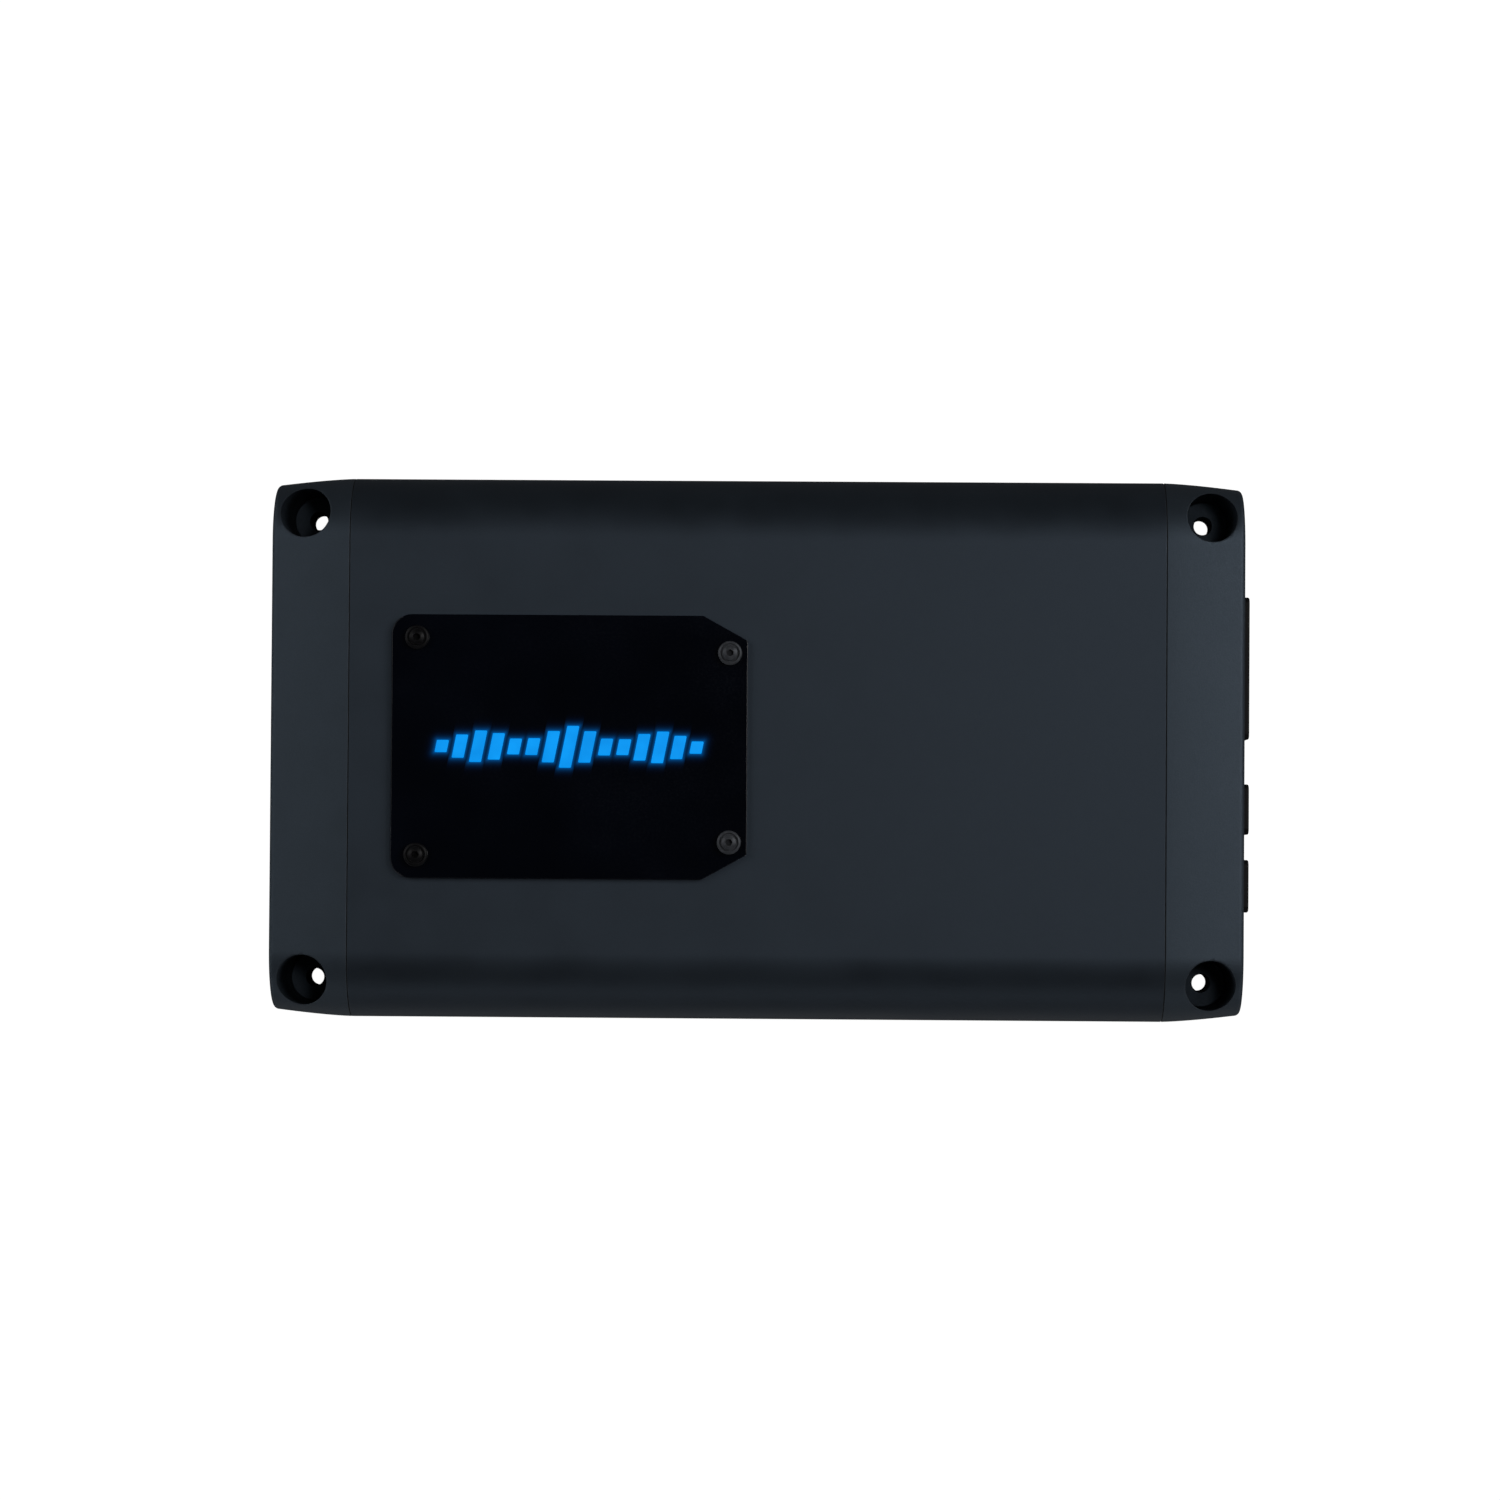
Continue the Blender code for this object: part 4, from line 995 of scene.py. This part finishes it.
def make_panel(mat, print_mat):
    low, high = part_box("control_panel")
    panel = new_piece("control_face", soft_box(low, high, 0.15 * MM), mat, (0, 0, 0))
    before = low.x - 1 * MM
    behind = high.x + 1 * MM
    holes = []
    marks = []
    for _, y, z in control_places("control_knob", 4):
        shape = turned([(SHAFT_HOLE_RADIUS, 0), (SHAFT_HOLE_RADIUS, behind - before)], 32)
        holes.append(lay_x(shape, before, y, z, 1))
        for tick in range(TICKS):
            angle = math.radians(KNOB_TURN * (2 * tick / (TICKS - 1) - 1))
            length = 1.1 * MM if tick in (0, TICKS // 2, TICKS - 1) else 0.6 * MM
            tick_low = (-0.15 * MM, TICK_START, 0)
            tick_high = (0.15 * MM, TICK_START + length, PRINT_THICKNESS)
            mark = soft_box(tick_low, tick_high, 0)
            for amount, axis in ((angle, "Z"), (math.pi / 2, "Y"), (math.pi / 2, "X")):
                bmesh.ops.rotate(mark, verts=mark.verts, matrix=Matrix.Rotation(amount, 3, axis))
            marks.append(move(mark, low.x - PRINT_THICKNESS - 0.005 * MM, y, z))
    for name in ("power_light_pipe", "protect_light_pipe"):
        radius = LIGHT_RADIUS + LIGHT_CLEARANCE
        shape = turned([(radius, 0), (radius, behind - before)], 32)
        middle = middle_of(name)
        holes.append(lay_x(shape, before, middle.y, middle.z, 1))
    for number, reach in SWITCH_REACHES.items():
        middle = middle_of(f"slide_switch_body_{number}")
        half_y = SWITCH_HALF_SLOT[0] + reach
        half_z = SWITCH_HALF_SLOT[1]
        slot_low = (before, middle.y - half_y, middle.z - half_z)
        slot_high = (behind, middle.y + half_y, middle.z + half_z)
        holes.append(soft_box(slot_low, slot_high, 0))
        for y in (-reach, 0, reach) if number == 1 else (-reach, reach):
            dot = turned([(0.3 * MM, 0), (0.3 * MM, PRINT_THICKNESS)], 16)
            marks.append(lay_x(dot, low.x - 0.005 * MM, middle.y + y, middle.z - SWITCH_DOT_DROP, -1))
    cut(panel, *holes)
    settle(panel, "panel_black", "control_panel")
    settle(new_piece("control_face_ticks", marks, print_mat, (0, 0, 0)), None)


def flutes(angle, z):
    """The knob's ribs, which fade out at its skirt and its face."""
    if not 0.7 * MM < z < KNOB_HEIGHT - 0.5 * MM:
        return 1
    return 1 - FLUTE_DEPTH * (1 - math.cos(KNOB_FLUTES * angle))


def make_knobs(mat, print_mat):
    profile = [(1.7, -6.3), (2.0, -6.0), (2.0, 0)]
    profile += soften([(2.0, 0), (4.3, 0), (4.3, 0.65)], [0, 0.15, 0], 3, False)[1:]
    profile += [(4.3, 0.75), (4.3, 1.6), (4.28, 2.6), (4.22, 3.6)]
    profile += arc((3.45, 3.65), 0.75, 10, 90, 6)
    profile += [(2.4, 4.4), (2.1, 4.25), (0.0001, 4.2)]
    knob = pointer = None
    turn = (0, -math.pi / 2, 0)
    for number, (front, y, z) in enumerate(control_places("control_knob", 4), 1):
        body = f"control_knob_{number}"
        place = (front + KNOB_HEIGHT, y, z)
        if knob:
            copy_piece(knob, f"knob_{number}", place, turn, "knob_plastic", body, body)
            settle(add_object(f"knob_pointer_{number}", pointer.data, place, turn), None, body=body)
            continue
        shape = turned(in_mm(profile), 6 * KNOB_FLUTES, flutes)
        knob = new_piece("knob_1", shape, mat, place, turn)
        cut(knob, soft_box((1.2 * MM, -0.35 * MM, 3.9 * MM), (6 * MM, 0.35 * MM, 6 * MM), 0))
        settle(knob, "knob_plastic", body, body=body)
        inlay = soft_box((1.25 * MM, -0.3 * MM, 3.95 * MM), (3.5 * MM, 0.3 * MM, 4.3 * MM), 0.05 * MM)
        pointer = new_piece("knob_pointer_1", inlay, print_mat, place, turn)
        settle(pointer, None, body=body)


def make_levers(mat):
    for number in (1, 2):
        body = f"slide_switch_lever_{number}"
        low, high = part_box(body)
        middle_y = (low.y + high.y) / 2
        lever = new_piece(f"switch_slider_{number}", soft_box(low, high, 0.2 * MM), mat, (0, 0, 0))
        ridges = []
        for offset in (-0.65 * MM, 0, 0.65 * MM):
            cut_low = (low.x - 1 * MM, middle_y + offset - 0.15 * MM, low.z - 1 * MM)
            cut_high = (low.x + 0.35 * MM, middle_y + offset + 0.15 * MM, high.z + 1 * MM)
            ridges.append(soft_box(cut_low, cut_high, 0))
        cut(lever, *ridges)
        settle(lever, "lever_plastic", body, body=body)


def make_light_pipe(name, node_name, slot, mat):
    radius = LIGHT_RADIUS / MM
    profile = [(1.3, -8), (radius, -7.7), (radius, 0.3)] + arc((0, 0.3), radius, 15, 89, 8)
    profile = [(r, 0.3 + (z - 0.3) * 0.5 if z > 0.3 else z) for r, z in profile]
    place = middle_of(node_name)
    place.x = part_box(node_name)[0].x + LIGHT_DOME
    shape = turned(in_mm(profile), 48)
    settle(new_piece(name, shape, mat, place, (0, -math.pi / 2, 0)), slot, node_name)


# Connectors


def connector_front(prefix):
    """The (y, z) limits of a connector's front shell."""
    low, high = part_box(f"{prefix}_connector")
    top = high.z - CONNECTOR_STEP
    return low.y + CONNECTOR_FLANGE, high.y - CONNECTOR_FLANGE, top - CONNECTOR_HEIGHT, top


def make_connector(prefix, rows, columns, plastic, brass):
    name = f"{prefix}_connector"
    low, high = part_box(name)
    y0, y1, z0, z1 = connector_front(prefix)
    flange_end = END_X + MIDDLE - END_WALL - CONNECTOR_GAP
    flange = soft_box((low.x, low.y, low.z), (flange_end, high.y, high.z), 0.3 * MM)
    shell = new_piece(f"{prefix}_socket", flange, plastic, (0, 0, 0))
    edge = CONNECTOR_EDGE
    levels = [(flange_end - 1 * MM, 0), (high.x - edge, 0)]
    for step in range(1, 5):
        angle = math.pi / 2 * step / 4
        levels.append((high.x - edge * (1 - math.sin(angle)), -edge * (1 - math.cos(angle))))
    outline = rectangle(y0, y1, z0, z1)
    sections = [(x, soften(grow(outline, amount), CONNECTOR_RADIUS + amount, 8)) for x, amount in levels]
    unite(shell, loft_x(sections))
    mouth = [(low.x - 1 * MM, 0), (high.x - 0.4 * MM, 0), (high.x, 0.3 * MM), (high.x + 1 * MM, 0.8 * MM)]
    inside = grow(outline, -CONNECTOR_WALL)
    cut(shell, loft_x([(x, soften(grow(inside, amount), 1 * MM + amount, 8)) for x, amount in mouth]))
    middle_y = (y0 + y1) / 2
    inner_y = (y1 - y0) / 2 - CONNECTOR_WALL
    keys = []
    for offset in (-0.45, 0.45):
        key_y = middle_y + offset * 2 * (inner_y - 1.5 * MM)
        key_low = (high.x - 1 * MM - KEY_LENGTH, key_y - 0.5 * MM, z1 - CONNECTOR_WALL - 0.7 * MM)
        key_high = (high.x - 1 * MM, key_y + 0.5 * MM, z1 - CONNECTOR_WALL + 0.3 * MM)
        keys.append(soft_box(key_low, key_high, 0.15 * MM, 2))
    unite(shell, *keys)
    settle(shell, "connector_plastic", name)

    seat = grow(inside, -0.1 * MM)
    back = low.x + 0.5 * MM
    front = low.x + 2.5 * MM
    block = loft_x([(x, soften(seat, 0.8 * MM, 6)) for x in (back, front)])
    wafer = new_piece(f"{prefix}_pin_block", block, plastic, (0, 0, 0))
    pin_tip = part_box(f"{prefix}_contacts")[1].x
    slots = []
    pins = []
    half = PIN_HALF
    for row in range(rows):
        z = (z0 + z1) / 2 + (row - (rows - 1) / 2) * PIN_ROW_PITCH
        for column in range(columns):
            y = middle_y + ((column + 0.5) / columns - 0.5) * (2 * inner_y - 1 * MM)
            pin = rectangle(y - half, y + half, z - half, z + half)
            slots.append(loft_x([(x, grow(pin, 0.05 * MM)) for x in (back - 1 * MM, front + 1 * MM)]))
            levels = ((back + 0.2 * MM, 0), (pin_tip - 1 * MM, 0), (pin_tip, -0.3 * MM))
            pins.append(loft_x([(x, soften(grow(pin, amount), 0.15 * MM, 3)) for x, amount in levels]))
    cut(wafer, *slots)
    settle(wafer, "connector_plastic", f"{prefix}_contacts")
    settle(new_piece(f"{prefix}_pins", pins, brass, (0, 0, 0)), "contact_brass", f"{prefix}_contacts")


# Sealed pieces that keep their CAD meshes


def dress(prefix, mat):
    """Give a material to every CAD node whose name starts with the prefix."""
    for name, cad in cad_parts.items():
        if name.startswith(prefix):
            for slot in cad.material_slots:
                slot.material = mat


def dress_inside():
    black = finish(
        "component_black", (0.012, 0.012, 0.013), 0.5,
        grain=0.25 * MM, depth=0.02 * MM, mottle=0.2,
    )
    steel = finish(
        "clamp_steel", (0.5, 0.5, 0.52), 0.34, 1.0,
        grain=0.3 * MM, depth=0.01 * MM, mottle=0.1, stretch=(0.1, 1, 1),
    )
    sleeve = finish("capacitor_sleeve", (0.015, 0.02, 0.07), 0.36, grain=0.6 * MM, mottle=0.15)
    board = board_finish()
    dress("badge_led_board", board)
    dress("main_circuit_board", board)
    dress("potentiometer", black)
    dress("slide_switch_body", black)
    dress("power_transistor", black)
    dress("transistor_clamp", steel)
    dress("filter_capacitor", sleeve)
    for name, turns in (("power_transformer", 90), ("output_choke_1", 48), ("output_choke_2", 48)):
        dress(name, winding_finish(f"{name}_winding", middle_of(name), turns))


# Stage


def make_camera():
    camera = add_object("camera", bpy.data.cameras.new("camera"))
    camera.data.lens = CAMERA_LENS
    camera.data.clip_start = 0.05
    camera.data.clip_end = 20
    back = (CAMERA - CAMERA_AIM).normalized()
    right = Vector((0, 1, 0)).cross(back).normalized()
    look = Matrix((right, back.cross(right), back)).transposed().to_4x4()
    camera.matrix_world = Matrix.Translation(CAMERA) @ look @ Matrix.Rotation(CAMERA_ROLL, 4, "Z")
    bpy.context.scene.camera = camera


# Name, place, size and power of each light in metres and watts, and its turn if it doesn't face the object
SOFTBOXES = (
    ("overhead", (0.225, 0.07, 1.35), (0.12, 0.12), 0.68),
    ("softbox_right", (0.95, 0.35, 1.15), (0.7, 0.9), 6.3),
    ("softbox_left", (-0.95, 0.35, 1.15), (0.7, 0.9), 3.2),
    ("fill_front", (0, -1.8, 0.55), (2.2, 0.6), 2.2),
    ("floor_glow", (0, -0.13, 0.001), (0.3, 0.1), 0.016, (math.pi, 0, 0)),
    ("fill_back", (0, 2.0, 0.25), (2.2, 0.3), 0.03),
    ("fill_right", (2.0, 0, 0.12), (2.0, 0.3), 1.5),
    ("fill_left", (-2.0, 0, 0.12), (2.0, 0.3), 3.2),
    ("low_left", (-1.5, -1.5, 0.1), (1.0, 0.3), 2.5),
    ("low_right", (1.5, -1.5, 0.1), (1.0, 0.3), 2.5),
    ("low_left", (-1.5, 1.5, 0.1), (1.0, 0.3), 1.6),
    ("low_right", (1.5, 1.5, 0.1), (1.0, 0.3), 1.6),
)


def softbox(name, place, size, power, turn=None):
    """A rectangular light, unseen by the camera. It faces the object unless it has a turn of its own."""
    lamp = bpy.data.lights.new(name, "AREA")
    lamp.shape = "RECTANGLE"
    lamp.size, lamp.size_y = size
    lamp.energy = power
    turn = turn or (-Vector(place)).to_track_quat("-Z", "Y").to_euler()
    add_object(name, lamp, place, turn).visible_camera = False


def make_floor():
    """A pale floor that shows as plain white, and lights the object no more than grey card would."""
    mat = finish("floor", (0.15, 0.15, 0.15), 0.9, grain=2 * MM, depth=0, mottle=0.01, patch=500 * MM)
    shader = shader_of(mat)
    shader.inputs["Emission Color"].default_value = (1, 1, 1, 1)
    seen = node(mat, "ShaderNodeLightPath").outputs["Is Camera Ray"]
    mat.node_tree.links.new(seen, shader.inputs["Emission Strength"])
    floor = new_piece("floor", turned([(6, -0.02), (6, -0.0002)], 64), mat, (0, 0, 0))


def make_world():
    """White where the camera sees it, and dim where it lights the object."""
    world = bpy.data.worlds.new("studio")
    bpy.context.scene.world = world
    world.use_nodes = True
    background = world.node_tree.nodes["Background"]
    seen = node(world, "ShaderNodeLightPath").outputs["Is Camera Ray"]
    world.node_tree.links.new(spread(world, seen, 0.012, 1.0, 0, 1), background.inputs["Strength"])
    background.inputs["Color"].default_value = (1, 1, 1, 1)


def make_stage():
    make_camera()
    make_floor()
    make_world()
    for light in SOFTBOXES:
        softbox(*light)
    view = bpy.context.scene.view_settings
    view.view_transform = "Standard"


def main():
    make_stage()
    print_mat = finish("pale_print", (0.55, 0.56, 0.58), 0.6, depth=0, mottle=0.1, patch=3 * MM)
    rubber = finish("black_rubber", (0.008, 0.008, 0.009), 0.75, depth=0.02 * MM, mottle=0.2)
    steel = finish(
        "black_sheet_steel", (0.02, 0.021, 0.023), 0.5, 0.4,
        grain=0.5 * MM, depth=0.02 * MM, mottle=0.12, edge_wear_and_highlight=(0.09, 0.09, 0.1),
    )
    panel_paint = finish(
        "panel_black", (0.012, 0.013, 0.015), 0.55,
        grain=0.25 * MM, depth=0.015 * MM, mottle=0.1,
    )
    plastic = finish("connector_plastic", (0.006, 0.006, 0.007), 0.5, depth=0.015 * MM, mottle=0.15)
    shader_of(plastic).inputs["Specular IOR Level"].default_value = 0.2
    knob_mat = finish(
        "knob_plastic", (0.014, 0.014, 0.015), 0.48,
        grain=0.2 * MM, depth=0.012 * MM, mottle=0.1,
    )
    lever_mat = finish("lever_plastic", (0.34, 0.34, 0.35), 0.45)
    screw_mat = finish(
        "black_steel_screw", (0.065, 0.065, 0.068), 0.38, 1.0,
        grain=0.25 * MM, depth=0.008 * MM, mottle=0.15, patch=1.5 * MM,
        edge_wear_and_highlight=(0.3, 0.3, 0.31), edge_wear_and_highlight_radius=0.12 * MM,
    )
    brass = finish(
        "contact_brass", (0.72, 0.50, 0.20), 0.28, 1.0,
        grain=0.2 * MM, depth=0.004 * MM, patch=2 * MM,
    )

    make_housing(anodised_finish())
    make_bottom_plate(steel, screw_mat)
    cast = cast_finish()
    make_cap("left_cap", "left_end_cap", -1, cast)
    make_cap("right_cap", "right_end_cap", 1, cast)
    make_cap_screws(screw_mat)
    make_gaskets(rubber)
    # Lit and shaded copies of one black-oxide finish: the darker copy paints shade on the left-hand badge
    # screws, the lighter one paints light on the right-hand pair.
    bolt_mats = [
        badge_screw_finish("badge_screw_painted_shade", (0.005, 0.005, 0.006), (0.04, 0.04, 0.043)),
        badge_screw_finish("badge_screw_painted_light", (0.065, 0.07, 0.08), (0.22, 0.23, 0.25)),
    ]
    make_badge(acrylic_finish(), emblem_finish(), bolt_mats)
    make_panel(panel_paint, print_mat)
    make_knobs(knob_mat, print_mat)
    make_levers(lever_mat)
    blue = status_finish("status_light_blue", (0.02, 0.30, 0.85), 1.2)
    red = status_finish("status_light_red", (0.20, 0.015, 0.012), 0.0)
    make_light_pipe("power_light", "power_light_pipe", "status_light_blue", blue)
    make_light_pipe("protect_light", "protect_light_pipe", "status_light_red", red)
    for prefix, (rows, columns) in CONNECTORS.items():
        make_connector(prefix, rows, columns, plastic, brass)
    dress_inside()


main()
